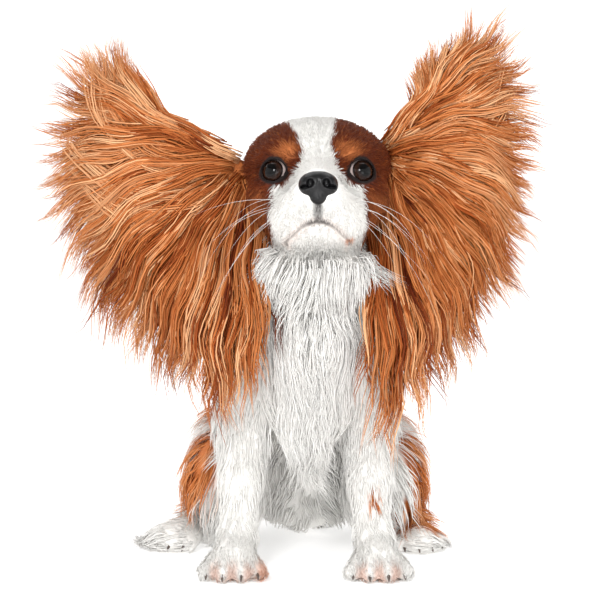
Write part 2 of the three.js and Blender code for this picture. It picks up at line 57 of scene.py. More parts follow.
def head_to_body(p):
    """Points of the head's own frame, turned nose up about X by the pitch, then moved to the head's place."""
    c, s = math.cos(HEAD_PITCH), math.sin(HEAD_PITCH)
    x, y, z = np.moveaxis(np.asarray(p, float), -1, 0)
    return np.stack([x, y * c + z * s, z * c - y * s], -1) + HEAD_AT


def body_to_head(p):
    """The reverse of head_to_body."""
    c, s = math.cos(HEAD_PITCH), math.sin(HEAD_PITCH)
    x, y, z = np.moveaxis(np.asarray(p, float) - HEAD_AT, -1, 0)
    return np.stack([x, y * c - z * s, y * s + z * c], -1)


eye_boxes = [np.array(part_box(name)) * 1000 for name in ("eye_right", "eye_left")]
eyes_middle = np.mean([box.mean(0) for box in eye_boxes], 0)
SHIFT = eyes_middle - head_to_body(EYE_AT * [0, 1, 1])


def to_row(points):
    """Millimetres from the dog's middle line, as metres in the frame."""
    return (np.asarray(points) + SHIFT) * 0.001


# Flesh
# The masses of muscle and bone under the coat: balls and tapered limbs as distance functions, which are
# blended where they meet. The skin lies on them, a coat's depth inside the frame's solids.
def ball(at, radii):
    """Distance to an ellipsoid, k (k - 1) / s: k is the scaled radius, and s that radius scaled once more."""
    at, radii = np.array(at, float), np.array(radii, float)

    def distance(p):
        q = (p - at) / radii
        k = np.linalg.norm(q, axis=-1)
        return k * (k - 1) / np.maximum(np.linalg.norm(q / radii, axis=-1), 1e-6)

    return distance


def limb(start, end, r_start, r_end):
    """Distance to a tapered rod: to the nearest point of its middle line, less the radius there."""
    start, along = np.array(start, float), np.array(end, float) - np.array(start, float)

    def distance(p):
        t = np.clip(((p - start) @ along) / (along @ along), 0, 1)
        return np.linalg.norm(p - start - t[..., None] * along, axis=-1) - (r_start + (r_end - r_start) * t)

    return distance


def meet(a, b, softness):
    """The smaller of two distances, with a fillet of that softness where they are alike."""
    h = np.maximum(softness - np.abs(a - b), 0) / softness
    return np.minimum(a, b) - h * h * softness / 4


def blend(softness, parts):
    """The distance to several parts, filleted one after another."""

    def distance(p):
        d = parts[0](p)
        for part in parts[1:]:
            d = meet(d, part(p), softness)
        return d

    return distance


def pair(make):
    """A part on the dog's right, then the same on its left."""
    return [make(-1), make(1)]


FOOT_AXIS = -10.0
FORELEG_SPREAD = 58.0
HIND_SPREAD = 70.0
# Each toe's place across its paw, then how far it stands back on a forepaw or reaches ahead on a hind foot.
FORE_TOES = [(-21, 7), (-7.5, 0), (7.5, 0), (21, 7)]
HIND_TOES = [(-17, 0), (-6, 6), (6, 6), (17, 0)]
# The ball of each hind foot: how far it stands out from the knee, and its place along Y.
FOOT_BALLS = {-1: (46, 22.0), 1: (30, 16.0)}

skull = blend(11, [
    ball([0, 0, 5], [61, 52, 41]),
    limb([0, -36, -10], [0, -78, -25], 20, 13),
    ball([0, -54, -60], [20, 25, 15]),
    ball([0, -18, -46], [42, 40, 30]),
    *pair(lambda s: ball([s * 26, -32, 6], [20, 16, 13])),
    *pair(lambda s: ball([s * 35, -20, -26], [24, 28, 25])),
    *pair(lambda s: limb([s * 11, -74, -38], [s * 20, -48, -50], 14, 21)),
])
trunk = blend(24, [
    limb([-3, -20, 204], [FOOT_AXIS, 84, 98], 58, 62),
    ball([-4, -44, 164], [46, 42, 60]),
    ball([FOOT_AXIS, 112, 58], [62, 50, 60]),
    *pair(lambda s: ball([-5 + s * 46, -26, 180], [26, 38, 50])),
])
neck = blend(16, [limb([-2, -6, 216], [0, -2, 306], 49, 44), ball([-1, -56, 238], [48, 36, 40])])
bib = blend(14, [limb([-3, -72, 200], [-7, -66, 135], 31, 24), limb([-7, -66, 135], [-9, -58, 110], 24, 12)])


def foreleg(side):
    """Shoulder, elbow, forearm and wrist in a row of limbs, and a paw of four toes in front of them."""
    x = lambda spread: FOOT_AXIS + side * spread
    joints = [[x(44), -44, 190], [x(50), -34, 118], [x(54), -48, 76], [x(FORELEG_SPREAD - 2), -58, 34]]
    girths = [(30, 24), (23, 17.5), (17.5, 16)]
    bones = [limb(a, b, *girth) for a, b, girth in zip(joints, joints[1:], girths)]
    paw_x = x(FORELEG_SPREAD + 2)
    toes = [
        limb([paw_x + spread * 0.6, -76, 12], [paw_x + spread, -98 + back, 8], 11, 8.5)
        for spread, back in FORE_TOES
    ]
    paw = blend(5, [limb([paw_x - side * 3, -60, 26], [paw_x, -80, 14], 17, 18), *toes])
    return blend(10, bones), paw


def hind_leg(side):
    """A thigh and knee folded beside the pelvis, a foot of four toes turned out in front of the heel, the
    ball of that foot and the way it points."""
    x = lambda spread: FOOT_AXIS + side * spread
    thigh = blend(22, [
        ball([x(HIND_SPREAD - 4), 66, 66], [36, 56, 57]),
        ball([x(HIND_SPREAD + 3), 14, 70], [27, 29, 33]),
        limb([x(HIND_SPREAD + 6), 24, 52], [x(HIND_SPREAD), 92, 22], 22, 17),
    ])
    heel = np.array([x(HIND_SPREAD + 12), 72.0, 18.0])
    out, back = FOOT_BALLS[side]
    ball_of_foot = np.array([x(HIND_SPREAD + out), back, 11.0])
    ahead = (ball_of_foot - heel) * [1, 1, 0]
    ahead /= np.linalg.norm(ahead)
    across = np.array([-ahead[1], ahead[0], 0])
    toes = []
    for spread, reach in HIND_TOES:
        tip = ball_of_foot + across * spread + ahead * reach
        tip[2] = 8.5
        toes.append(limb(ball_of_foot + across * spread * 0.5 - ahead * 14, tip, 11, 8.5))
    foot = blend(5, [limb(heel, ball_of_foot, 15, 14), *toes])
    return thigh, foot, ball_of_foot, ahead


foreleg_right, forepaw_right = foreleg(-1)
foreleg_left, forepaw_left = foreleg(1)
thigh_right, hind_foot_right, foot_ball_right, foot_ahead_right = hind_leg(-1)
thigh_left, hind_foot_left, foot_ball_left, foot_ahead_left = hind_leg(1)
TAIL = np.array([[FOOT_AXIS, 156, 40], [-20, 190, 20], [-52, 220, 15], [-92, 234, 13]])
tail = blend(8, [limb(a, b, *g) for a, b, g in zip(TAIL, TAIL[1:], [(16, 15), (15, 13), (13, 8)])])

# Ears
# Each ear's leather is a thin flap that is spread from the side of the head, and its long hair fans out from
# it. At each angle above level there is the reach of the hair's tips from the root of the ear, and crossing
# is the share of the locks that cross the others at the top of the fan.
EARS = {
    "right": {
        "side": -1,
        "root": np.array([-56.0, -6.0, 338.0]),
        "angles": [-97, -86, -70, -50, -30, -12, 12, 33, 40],
        "reach": [176, 214, 208, 194, 180, 180, 178, 176, 150],
        "crossing": 0.2,
    },
    "left": {
        "side": 1,
        "root": np.array([50.0, -6.0, 344.0]),
        "angles": [-96, -86, -74, -54, -28, 0, 26, 44, 52, 66],
        "reach": [200, 244, 202, 176, 148, 136, 150, 160, 148, 84],
        "crossing": 0.03,
    },
}
# The leather's share of that reach.
LEATHER_SHARE = 0.42


def step_between(value, low, high):
    """0 below low, 1 above high, and 3 t t - 2 t t t between them."""
    t = np.clip((value - low) / (high - low), 0, 1)
    return t * t * (3 - 2 * t)


def sheet_depth(ear, x, z, distance):
    """How far ahead of its root an ear's sheet lies: a shallow cup, and a bend forward over the shoulder."""
    over_shoulder = 1 - step_between(z, 195, 290)
    beside = 1 - step_between(np.abs(x), 84, 150)
    return ear["root"][1] - 10 * np.sin(math.pi * distance / 190) - 92 * over_shoulder * beside


def on_sheet(ear, angle, distance):
    """The point of an ear's sheet at an angle in degrees and a distance from the root."""
    x = ear["root"][0] + ear["side"] * np.cos(np.radians(angle)) * distance
    z = ear["root"][2] + np.sin(np.radians(angle)) * distance
    return np.stack([x, sheet_depth(ear, x, z, distance), z], -1)


def leather(ear):
    """Distance to the flap: the most of the depth from its sheet and the ways past its rim and ends."""
    angles, reach = ear["angles"], ear["reach"]

    def distance(p):
        dx, dz = (p[..., 0] - ear["root"][0]) * ear["side"], p[..., 2] - ear["root"][2]
        r = np.hypot(dx, dz)
        angle = np.degrees(np.arctan2(dz, dx))
        rim = np.interp(angle, angles, reach) * LEATHER_SHARE
        off = np.abs(p[..., 1] - sheet_depth(ear, p[..., 0], p[..., 2], r)) - 2.2
        past = np.maximum(angle - angles[-1] + 11, angles[0] + 4 - angle) * r * 0.017
        d = np.maximum(np.maximum(off, r - rim), past) * 0.7
        cup = ball(ear["root"] + [ear["side"] * 26, 8, -16], [20, 7, 24])(p)
        return np.maximum(d, -cup)

    return distance


ear_flaps = {name: leather(ear) for name, ear in EARS.items()}

# Face
# Lids are a thin shell round each eye with an almond opening. The lips part along a line that dips from
# under the nose to each corner of the mouth, and a crease runs up from it to the nose.
LID_THICKNESS = 1.7
OPENING = (10.4, 9.0)
HALF_LIP = np.array([[33, -49, -71], [24, -64, -67.5], [13, -77, -59.5]], float)
LIP_LINE = np.concatenate([HALF_LIP * [-1, 1, 1], [[0, -82, -54]], HALF_LIP[::-1]])
NOSE_CREASE = np.array([[0, -90, -40], [0, -87, -48], [0, -82, -55]], float)


def eye_frame(side, gaze=(0.30, -0.94, 0.12)):
    """Three directions at an eye: across it to the dog's left, up it, and out along its gaze."""
    out = np.array([side * gaze[0], gaze[1], gaze[2]])
    out /= np.linalg.norm(out)
    across = np.cross(out, [0, 0, 1])
    across /= np.linalg.norm(across)
    return across, np.cross(across, out), out


def eye_coordinates(p, side):
    """Head points as amounts across, up and out from an eye's centre."""
    return [(p - EYE_AT * [side, 1, 1]) @ axis for axis in eye_frame(side)]


def opening(p, side):
    """Below zero inside the almond between the lids: a scaled radius, narrowed towards both corners."""
    u, v, w = eye_coordinates(p, side)
    height = OPENING[1] * (1 - 0.10 * np.clip(np.abs(u) / OPENING[0], 0, 1) ** 2)
    return np.maximum((np.hypot(u / OPENING[0], v / height) - 1) * OPENING[1], -w)


def along_line(line):
    """Distance to a line of several straight stretches."""
    parts = [limb(a, b, 0, 0) for a, b in zip(line, line[1:])]
    return lambda p: np.min([part(p) for part in parts], 0)


def to_surface(line, flesh, middle):
    """Moves a line's points outwards from a middle until they lie on the flesh."""
    out = (line - middle) * [1, 1, 0]
    out /= np.linalg.norm(out, axis=-1, keepdims=True)
    points = line.copy()
    for _ in range(40):
        points -= out * flesh(points)[:, None] * 0.6
    return points


def finer(line, count):
    """The line's points again, evenly spaced by length and eased twice."""
    reach = np.append(0, np.cumsum(np.linalg.norm(np.diff(line, axis=0), axis=1)))
    even = np.linspace(0, reach[-1], count)
    points = np.stack([np.interp(even, reach, line[:, k]) for k in range(3)], -1)
    for _ in range(2):
        points[1:-1] = (points[:-2] + 2 * points[1:-1] + points[2:]) / 4
    return points


lip_line = to_surface(finer(LIP_LINE, 17), skull, [0, -40, 0])
nose_crease = to_surface(NOSE_CREASE, skull, [0, -40, 0])
to_lips = along_line(lip_line)
to_crease = along_line(nose_crease)


nose_flesh = blend(3, [
    ball([0, -83, -27], [15, 10, 10.5]),
    ball([0, -84, -37], [8, 7, 7]),
    *pair(lambda s: ball([s * 8.5, -86, -29], [7, 7.5, 8])),
])


def face(p):
    """The head's skin: the skull's flesh, with lids added, then openings, sockets, lips and crease cut in."""
    d = np.maximum(skull(p) + 1.0, -nose_flesh(p) - 1.2)
    for side in (-1, 1):
        from_eye = np.linalg.norm(p - EYE_AT * [side, 1, 1], axis=-1)
        d = meet(d, from_eye - EYE_RADIUS - LID_THICKNESS, 3.5)
        d = np.maximum(d, -opening(p, side))
        d = np.maximum(d, EYE_RADIUS + 0.15 - from_eye)
    lips = meet(to_lips(p), to_crease(p) + 0.35, 0.8)
    return -meet(-d, lips - 1.4, 1.6)


# Skin
# One skin covers the dog without a seam. It is worked out cell by cell as the surface where the distance is
# nought, finely on the head and more coarsely below the neck, where the coat hides it.
def skin_of(inset, flesh):
    """Flesh drawn in by the depth of the coat on it."""
    return lambda p: flesh(p) + inset


masses = {
    "head": lambda p: face(body_to_head(p)),
    "neck": skin_of(4, neck),
    "chest": skin_of(5, bib),
    "torso": skin_of(4, trunk),
    "foreleg_right": skin_of(2.5, foreleg_right),
    "foreleg_left": skin_of(2.5, foreleg_left),
    "forepaw_right": skin_of(1.5, forepaw_right),
    "forepaw_left": skin_of(1.5, forepaw_left),
    "thigh_right": skin_of(4, thigh_right),
    "thigh_left": skin_of(4, thigh_left),
    "hind_foot_right": skin_of(1.5, hind_foot_right),
    "hind_foot_left": skin_of(1.5, hind_foot_left),
    "tail": skin_of(4, tail),
    "ear_right": ear_flaps["right"],
    "ear_left": ear_flaps["left"],
}
# The softness of the fillet where a mass joins the ones before it, where that isn't 9 mm.
FILLETS = {"neck": 20, "ear_right": 3, "ear_left": 3}


def whole_skin(p):
    """The whole dog: each mass filleted into the ones before it, and cut level at the floor."""
    d = None
    for name, mass in masses.items():
        found = mass(p)
        d = found if d is None else meet(d, found, FILLETS.get(name, 9))
    return np.maximum(d, 0.3 - p[..., 2])


def outward(flesh, p, step=0.6):
    """The direction in which a distance grows fastest, from its differences along X, Y and Z."""
    slope = np.stack([flesh(p + axis) - flesh(p - axis) for axis in np.eye(3) * step], -1)
    return slope / np.maximum(np.linalg.norm(slope, axis=-1, keepdims=True), 1e-9)


def surface_net(flesh, low, high, size):
    """One vertex in each cell that the surface crosses, at the mean of the crossings of that cell's edges,
    and one square round each grid edge that it crosses."""
    axes = [np.arange(a, b + size, size) for a, b in zip(low, high)]
    grid = np.stack(np.meshgrid(*axes, indexing="ij"), -1)
    d = np.concatenate([flesh(part) for part in np.array_split(grid, 24)])
    shape = np.array(d.shape)
    total = np.zeros((3, d.size))
    count = np.zeros(d.size)
    quads = []
    flat = lambda index: np.ravel_multi_index(tuple(index.T), tuple(shape))
    for axis in range(3):
        near = np.take(d, range(shape[axis] - 1), axis)
        far = np.take(d, range(1, shape[axis]), axis)
        edge = np.argwhere((near < 0) != (far < 0))
        others = [k for k in range(3) if k != axis]
        edge = edge[(edge[:, others] > 0).all(1)]
        a, b = near[tuple(edge.T)], far[tuple(edge.T)]
        point = grid[tuple(edge.T)].copy()
        point[:, axis] += a / (a - b) * size
        round_edge = []
        for du, dv in [(0, 0), (1, 0), (1, 1), (0, 1)]:
            cell = edge.copy()
            cell[:, others[0]] -= du
            cell[:, others[1]] -= dv
            cell_id = flat(cell)
            round_edge.append(cell_id)
            count += np.bincount(cell_id, minlength=d.size)
            for k in range(3):
                total[k] += np.bincount(cell_id, point[:, k], d.size)
        square = np.stack(round_edge, -1)
        turned = (a < 0) if axis != 1 else (a >= 0)
        square[~turned] = square[~turned][:, ::-1]
        quads.append(square)
    used = count > 0
    number = np.cumsum(used) - 1
    points = (total[:, used] / count[used]).T
    for _ in range(2):
        points -= outward(flesh, points, size * 0.3) * np.clip(flesh(points), -size, size)[:, None] * 0.6
    return points, number[np.concatenate(quads)]


def new_mesh(name, points, faces, attributes, uv=None):
    """A mesh whose faces have one number of corners, with an attribute for each name: one number a point."""
    mesh = bpy.data.meshes.new(name)
    corners = faces.shape[1]
    mesh.vertices.add(len(points))
    mesh.vertices.foreach_set("co", to_row(points).astype(np.float32).ravel())
    mesh.loops.add(faces.size)
    mesh.loops.foreach_set("vertex_index", faces.astype(np.int32).ravel())
    mesh.polygons.add(len(faces))
    mesh.polygons.foreach_set("loop_start", np.arange(0, faces.size, corners, dtype=np.int32))
    mesh.polygons.foreach_set("use_smooth", np.ones(len(faces), bool))
    for key, values in attributes.items():
        mesh.attributes.new(key, "FLOAT", "POINT").data.foreach_set("value", np.asarray(values, np.float32))
    if uv is not None:
        layer = mesh.uv_layers.new(name="OFBake")
        layer.data.foreach_set("uv", uv[faces.ravel()].astype(np.float32).ravel())
    mesh.update(calc_edges=True)
    piece = bpy.data.objects.new(name, mesh)
    bpy.context.scene.collection.objects.link(piece)
    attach(piece, "root")
    return piece


JOIN_LEVEL = 262.0
FINE_CELL = 1.35
COARSE_CELL = 3.4
upper = lambda p: np.maximum(whole_skin(p), JOIN_LEVEL - 6 - p[..., 2])
lower = lambda p: np.maximum(whole_skin(p), p[..., 2] - JOIN_LEVEL)
head_points, head_quads = surface_net(upper, [-142, -130, JOIN_LEVEL - 10], [132, 50, 420], FINE_CELL)
body_points, body_quads = surface_net(lower, [-170, -130, -4], [150, 255, JOIN_LEVEL + 4], COARSE_CELL)
skin_points = np.concatenate([head_points, body_points])
skin_quads = np.concatenate([head_quads, body_quads + len(head_points)])


def ripple(p, size, seed=0.0):
    """A smooth irregular pattern from -1 to 1: the mean of four waves that run in unlike directions."""
    p = np.asarray(p) / size
    waves = [(1.0, 0.7, -0.4), (-0.6, 1.1, 0.9), (0.5, -0.8, 1.3), (1.4, 0.3, 0.8)]
    return np.mean([np.sin(p @ np.array(w) * 2.1 + seed * (k + 1) + 1.7 * k) for k, w in enumerate(waves)], 0)


# The blaze's half width at heights above the eyes' level, from the muzzle to the crown.
BLAZE_HEIGHTS = [-30, -16, -6, 6, 20, 42]
BLAZE_HALF_WIDTHS = [34, 25, 14, 10.5, 14, 22]
LEG_SPOT = [47, -66, 66]


def from_blaze(h):
    """How far a point of the head is from the blaze's middle line, which leans to the right at its top."""
    return np.abs(h[..., 0] + np.interp(h[..., 2], [5, 45], [0, 7]))


def head_mark(p):
    """1 outside the blaze and the white muzzle, and above the white throat."""
    h = body_to_head(p)
    x, y, z = from_blaze(h), h[..., 1], h[..., 2]
    blaze = np.where(y > 0, 20 - y * 0.3, np.interp(z, BLAZE_HEIGHTS, BLAZE_HALF_WIDTHS))
    muzzle = np.where((y < -16) & (z < -20), 36 + (z + 20) * -0.05, 0)
    outside = step_between(x - np.maximum(blaze, muzzle) + 1.8 * ripple(p, 9.0), -1.2, 1.6)
    throat = step_between(z + 0.35 * x, -62, -56)
    return outside * np.maximum(throat, step_between(x, 33, 38))


def neck_mark(p):
    """1 on the sides and back of the neck, above the shoulders."""
    x, y, z = np.moveaxis(p, -1, 0)
    behind = step_between(y + 3 * ripple(p, 30.0, 2.0) + 0.6 * np.abs(x), -4, 4)
    return behind * step_between(z, 204, 214)


def body_mark(p):
    """1 on the saddle and rump as far as the tail, on a round patch on each thigh and on the leg's spot."""
    x, y, z = np.moveaxis(p, -1, 0)
    edge = 5 * ripple(p, 30.0, 2.0)
    saddle = step_between(z - 116 + 0.12 * (y - 60) + edge, -4, 6) * step_between(y + edge, -16, -4)
    rump = step_between(y - 120 + edge, -3, 5) * step_between(z, 34, 44)
    right_thigh = 1 - step_between(np.hypot(y - 22 + edge, (z - 78) * 0.95), 30, 36)
    left_thigh = 1 - step_between(np.hypot(y - 30 + edge, (z - 62) * 0.8), 34, 40)
    thighs = np.where(x < FOOT_AXIS, right_thigh, left_thigh) * step_between(np.abs(x - FOOT_AXIS), 70, 78)
    spot = 1 - step_between(np.linalg.norm((p - LEG_SPOT) / [1, 1, 1.5], axis=-1), 3.5, 6)
    return np.max([saddle, rump, thighs, spot], 0) * (1 - step_between(y, 176, 190))


def chestnut_at(p):
    """1 where the coat is chestnut and 0 where it is white: by the head's marks on the head and the others
    below it, and everywhere on the ears and on the sides of the head behind the cheeks."""
    x, y, z = np.moveaxis(p, -1, 0)
    h = body_to_head(p)
    on_head = skull(h) < neck(p)
    mark = np.where(on_head & (z > 240), head_mark(p), np.maximum(neck_mark(p), body_mark(p)))
    beside = (np.abs(x) > 46) & (z > 270) & (y > -60)
    cheek = on_head & (from_blaze(h) > 47) & (z > 280)
    ear = (np.min([flap(p) for flap in ear_flaps.values()], 0) < 3) & (z > 150)
    return np.where(beside | cheek | ear, 1.0, mark)


def bare_at(p):
    """1 on the dark bare skin of the lid rims, the lips and the crease under the nose."""
    h = body_to_head(p)
    rims = [1 - step_between(opening(h, s) + 0.4 * ripple(h, 3.0), 2.2, 4.2) for s in (-1, 1)]
    near_eye = [np.linalg.norm(h - EYE_AT * [s, 1, 1], axis=-1) < EYE_RADIUS + 6 for s in (-1, 1)]
    rim = np.max([r * n for r, n in zip(rims, near_eye)], 0)
    middle = 1 - step_between(np.abs(h[..., 0]), 4, 15)
    corner = step_between(np.abs(h[..., 0]), 26, 30)
    lips = 1 - step_between(to_lips(h), 1.2, 2.6 + 1.2 * middle)
    crease = (1 - step_between(to_crease(h) + 0.8 * ripple(h, 2.5), 1.5, 6.0)) * 0.9
    return np.max([rim, lips * (0.7 + 0.28 * np.maximum(middle, corner)), crease], 0)


def brow_at(p):
    """1 on the brighter tan patch over each eye, and a little less than half on each cheek."""
    h = body_to_head(p)
    brows = [np.linalg.norm((h - [s * 23, -43, 7]) / [11, 12, 8], axis=-1) for s in (-1, 1)]
    cheeks = [np.linalg.norm((h - [s * 47, -30, -38]) / [14, 18, 17], axis=-1) for s in (-1, 1)]
    uneven = 0.2 * ripple(p, 7.0)
    brow = 1 - step_between(np.min(brows, 0) + uneven, 0.45, 1.35)
    return np.maximum(brow, 0.45 - 0.45 * step_between(np.min(cheeks, 0) + uneven, 0.5, 1.3))


def stain_at(p):
    """1 where the white is stained rust pink: between the toes, on the inner side of the right paw, along the
    lips and in a spot over the left corner of the mouth."""
    low = 1 - step_between(p[..., 2], 10, 24)
    marks = []
    for side in (-1, 1):
        from_paw = (p[..., 0] - FOOT_AXIS - side * 60) * -side
        gaps = np.min([np.abs(from_paw - gap) for gap in (-14, 0, 14)], 0)
        toes = (1 - step_between(gaps, 1.5, 6.5)) * (1 - step_between(p[..., 1], -98, -84))
        inner = (side < 0) * 0.8 * step_between(from_paw, 16, 24) * (1 - step_between(p[..., 1], -76, -60))
        marks.append(np.maximum(toes * 0.5, inner) * (np.abs(from_paw) < 36) * low)
    h = body_to_head(p)
    marks.append((1 - step_between(to_lips(h), 2.0, 6.0)) * 0.16)
    from_corner = np.linalg.norm((h - [27, -58, -70]) / [6, 8, 5], axis=-1)
    marks.append((1 - step_between(from_corner, 0.6, 1.2)) * 0.9)
    return np.max(marks, 0)


class Wire:
    """A value on a material's node sheet, so that a sum or product of two adds its Math node."""

    def __init__(self, finish, socket):
        self.finish, self.socket = finish, socket

    def _math(self, operation, a, b):
        return self.finish.node("Math", {"operation": operation}, {0: a, 1: b})

    def __add__(self, other):
        return self._math("ADD", self, other)

    def __sub__(self, other):
        return self._math("SUBTRACT", self, other)

    def __rsub__(self, other):
        return self._math("SUBTRACT", other, self)

    def __mul__(self, other):
        return self._math("MULTIPLY", self, other)

    __radd__, __rmul__ = __add__, __mul__


class Finish:
    """A material's node sheet, with its shader and the constants set on the shader's sockets."""

    def __init__(self, name, **constants):
        self.material = bpy.data.materials.new(name)
        self.material.use_nodes = True
        self.tree = self.material.node_tree
        self.shader = self.tree.nodes["Principled BSDF"]
        for socket, value in constants.items():
            self.shader.inputs[socket.replace("_", " ")].default_value = value

    def node(self, kind, settings=None, sockets=None, output=0):
        """A new node, with its settings first and then the values or links of its sockets."""
        made = self.tree.nodes.new("ShaderNode" + kind)
        for key, value in (settings or {}).items():
            if key == "stops":
                ramp = made.color_ramp.elements
                while len(ramp) < len(value):
                    ramp.new(0.5)
                for element, (place, colour) in zip(ramp, value):
                    element.position, element.color = place, colour
            else:
                setattr(made, key, value)
        for key, value in (sockets or {}).items():
            self.feed(made.inputs[key], value)
        return Wire(self, made.outputs[output])

    def feed(self, socket, value):
        """Links a wire to a socket, or sets a number or colour on it."""
        if isinstance(value, Wire):
            self.tree.links.new(value.socket, socket)
        else:
            socket.default_value = value

    def shade(self, socket, value):
        """Feeds the shader itself."""
        self.feed(self.shader.inputs[socket], value)

    def number(self, name):
        """What a mesh's attribute of that name says at each point."""
        return self.node("Attribute", {"attribute_name": name}, output=2)

    def colour_mix(self, share, a, b):
        """The first colour at a share of 0, and the second at 1."""
        return self.node("Mix", {"data_type": "RGBA"}, {0: share, 6: a, 7: b}, output=2)


def srgb(*levels):
    """A colour given in display levels from 0 to 255, as the linear light that shaders use."""
    c = np.array(levels, float) / 255
    return (*np.where(c <= 0.04045, c / 12.92, ((c + 0.055) / 1.055) ** 2.4), 1.0)


CHESTNUT_STOPS = [
    (0.0, srgb(96, 34, 10)),
    (0.3, srgb(160, 78, 30)),
    (0.6, srgb(206, 126, 70)),
    (1.0, srgb(240, 186, 138)),
]
FACE_STOPS = [
    (0.0, srgb(48, 15, 6)),
    (0.4, srgb(90, 36, 15)),
    (0.75, srgb(122, 57, 26)),
    (1.0, srgb(172, 98, 52)),
]
WHITE_STOPS = [(0.0, srgb(230, 227, 220)), (0.4, srgb(240, 238, 234)), (1.0, srgb(250, 249, 246))]
BARE_SKIN = srgb(30, 23, 22)
BROW_TAN = srgb(190, 112, 62)
TOE_STAIN = srgb(214, 150, 116)


def fur_finish(name, tone_of):
    """Fur: tone picks a colour from the chestnut, face or white range, and the markings mix the three."""
    fur = Finish(name, Roughness=0.6, Specular_IOR_Level=0.14)
    tone = tone_of(fur)
    chestnut = fur.node("ValToRGB", {"stops": CHESTNUT_STOPS}, {0: tone})
    dark = fur.node("ValToRGB", {"stops": FACE_STOPS}, {0: tone})
    white = fur.node("ValToRGB", {"stops": WHITE_STOPS}, {0: tone})
    red = fur.colour_mix(fur.number("face"), chestnut, dark)
    red = fur.colour_mix(fur.number("brow"), red, BROW_TAN)
    pale = fur.colour_mix(fur.number("stain"), white, TOE_STAIN)
    coat = fur.colour_mix(fur.number("chestnut"), pale, red)
    fur.shade("Base Color", fur.colour_mix(fur.number("bare"), coat, BARE_SKIN))
    return fur


def skin_tone(fur):
    """The tone of the short under coat: fine noise drawn out, round a middle level."""
    place = fur.node("TexCoord", output=3)
    grain = fur.node("TexNoise", {}, {"Vector": place, "Scale": 900.0, "Detail": 3.0})
    relief = fur.node("Bump", {}, {"Strength": 0.25, "Distance": 0.0005, "Height": grain})
    fur.shade("Normal", relief)
    return grain * 0.3 + 0.3


def face_share(p):
    """1 on the head, where the chestnut is darker than on the ears, fading out at the neck and ears."""
    d = body_to_head(p)
    return (1 - step_between(np.abs(d[..., 0]), 58, 66)) * step_between(p[..., 2], 262, 290)


skin = new_mesh(
    "skin",
    skin_points,
    skin_quads,
    {
        "chestnut": chestnut_at(skin_points),
        "face": face_share(skin_points),
        "brow": brow_at(skin_points),
        "stain": stain_at(skin_points),
        "bare": bare_at(skin_points),
    },
)
skin.data.materials.append(fur_finish("under_coat", skin_tone).material)
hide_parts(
    *[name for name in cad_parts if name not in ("eye_right", "eye_left", "nose")],
)

# Eyes
# Dark brown eyes, round and moist, with a broad pupil, a ring at the edge of the iris and a little white
# at the inner corners. A clear bulge stands out over the iris.
GAZE = (0.40, -0.90, 0.08)


def eye_surface(side, rows=48, columns=64):
    """A sphere about the gaze: a ring of points at each turn from the gaze, with the cornea's bulge on it."""
    across, up, out = eye_frame(side, GAZE)
    turn = np.linspace(0, math.pi, rows)[1:-1, None]
    spin = np.linspace(0, 2 * math.pi, columns, endpoint=False)[None]
    bulge = EYE_RADIUS - 0.25 + 0.7 * (1 - step_between(turn, 0.25, 0.85))
    unit = (
        (np.sin(turn) * np.cos(spin))[..., None] * across
        + (np.sin(turn) * np.sin(spin))[..., None] * up
        + (np.cos(turn) * np.ones_like(spin))[..., None] * out
    )
    rings = (unit * bulge[..., None]).reshape(-1, 3)
    poles = np.array([out * (EYE_RADIUS + 0.45), -out * (EYE_RADIUS - 0.25)])
    points = np.concatenate([rings, poles]) + EYE_AT * [side, 1, 1]
    ids = np.arange((rows - 2) * columns).reshape(rows - 2, columns)
    after = np.roll(ids, -1, 1)
    a, b, c, d = ids[:-1].ravel(), after[:-1].ravel(), after[1:].ravel(), ids[1:].ravel()
    top = np.stack([ids[0] * 0 + len(rings), after[0], ids[0]], -1)
    bottom = np.stack([ids[0] * 0 + len(rings) + 1, ids[-1], after[-1]], -1)
    faces = np.concatenate([np.stack([a, b, c], -1), np.stack([a, c, d], -1), top, bottom])
    angle = np.concatenate([np.repeat(np.degrees(turn[:, 0]), columns), [0, 180]])
    return head_to_body(points), faces, angle


eye_finish = Finish(
    "moist_eye", Roughness=0.04, Coat_Weight=0.08, Coat_Roughness=0.02, Specular_IOR_Level=0.18
)
EYE_STOPS = [
    (0.0, srgb(3, 3, 3)),
    (0.25, srgb(4, 3, 3)),
    (0.29, srgb(24, 12, 8)),
    (0.46, srgb(42, 22, 13)),
    (0.55, srgb(14, 8, 7)),
    (0.575, srgb(30, 20, 18)),
    (0.62, srgb(190, 172, 168)),
    (1.0, srgb(200, 180, 176)),
]
eye_place = eye_finish.node("TexCoord", output=3)
fibres = eye_finish.node("TexNoise", {}, {"Vector": eye_place, "Scale": 700.0, "Detail": 2.0})
from_pupil = eye_finish.number("turn") + (fibres - 0.5) * 0.02
eye_finish.shade("Base Color", eye_finish.node("ValToRGB", {"stops": EYE_STOPS}, {0: from_pupil}))
for side_name, side in (("right", -1), ("left", 1)):
    eye_points, eye_faces, eye_turn = eye_surface(side)
    eye = new_mesh(f"eye_{side_name}_fine", eye_points, eye_faces, {"turn": eye_turn / 90})
    eye.data.materials.append(eye_finish.material)
    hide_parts(f"eye_{side_name}")

# Nose
# Black, moist, bare leather with a pebbled surface, set on the end of the muzzle. Its comma-shaped nostrils
# open outwards, and a shallow groove parts it down the middle.
nostrils = [
    *pair(lambda s: ball([s * 6.4, -94, -28], [3, 5.4, 4.0])),
    *pair(lambda s: ball([s * 10.8, -91.5, -31], [4.4, 6, 1.7])),
]
nose_groove = limb([0, -94, -25], [0, -91, -40], 0.9, 0.9)


def nose_leather(p):
    """The nose's flesh less its nostrils and its groove, with rounded rims."""
    d = nose_flesh(p)
    for hole in nostrils:
        d = -meet(-d, hole(p), 1.2)
    return -meet(-d, nose_groove(p), 1.2)


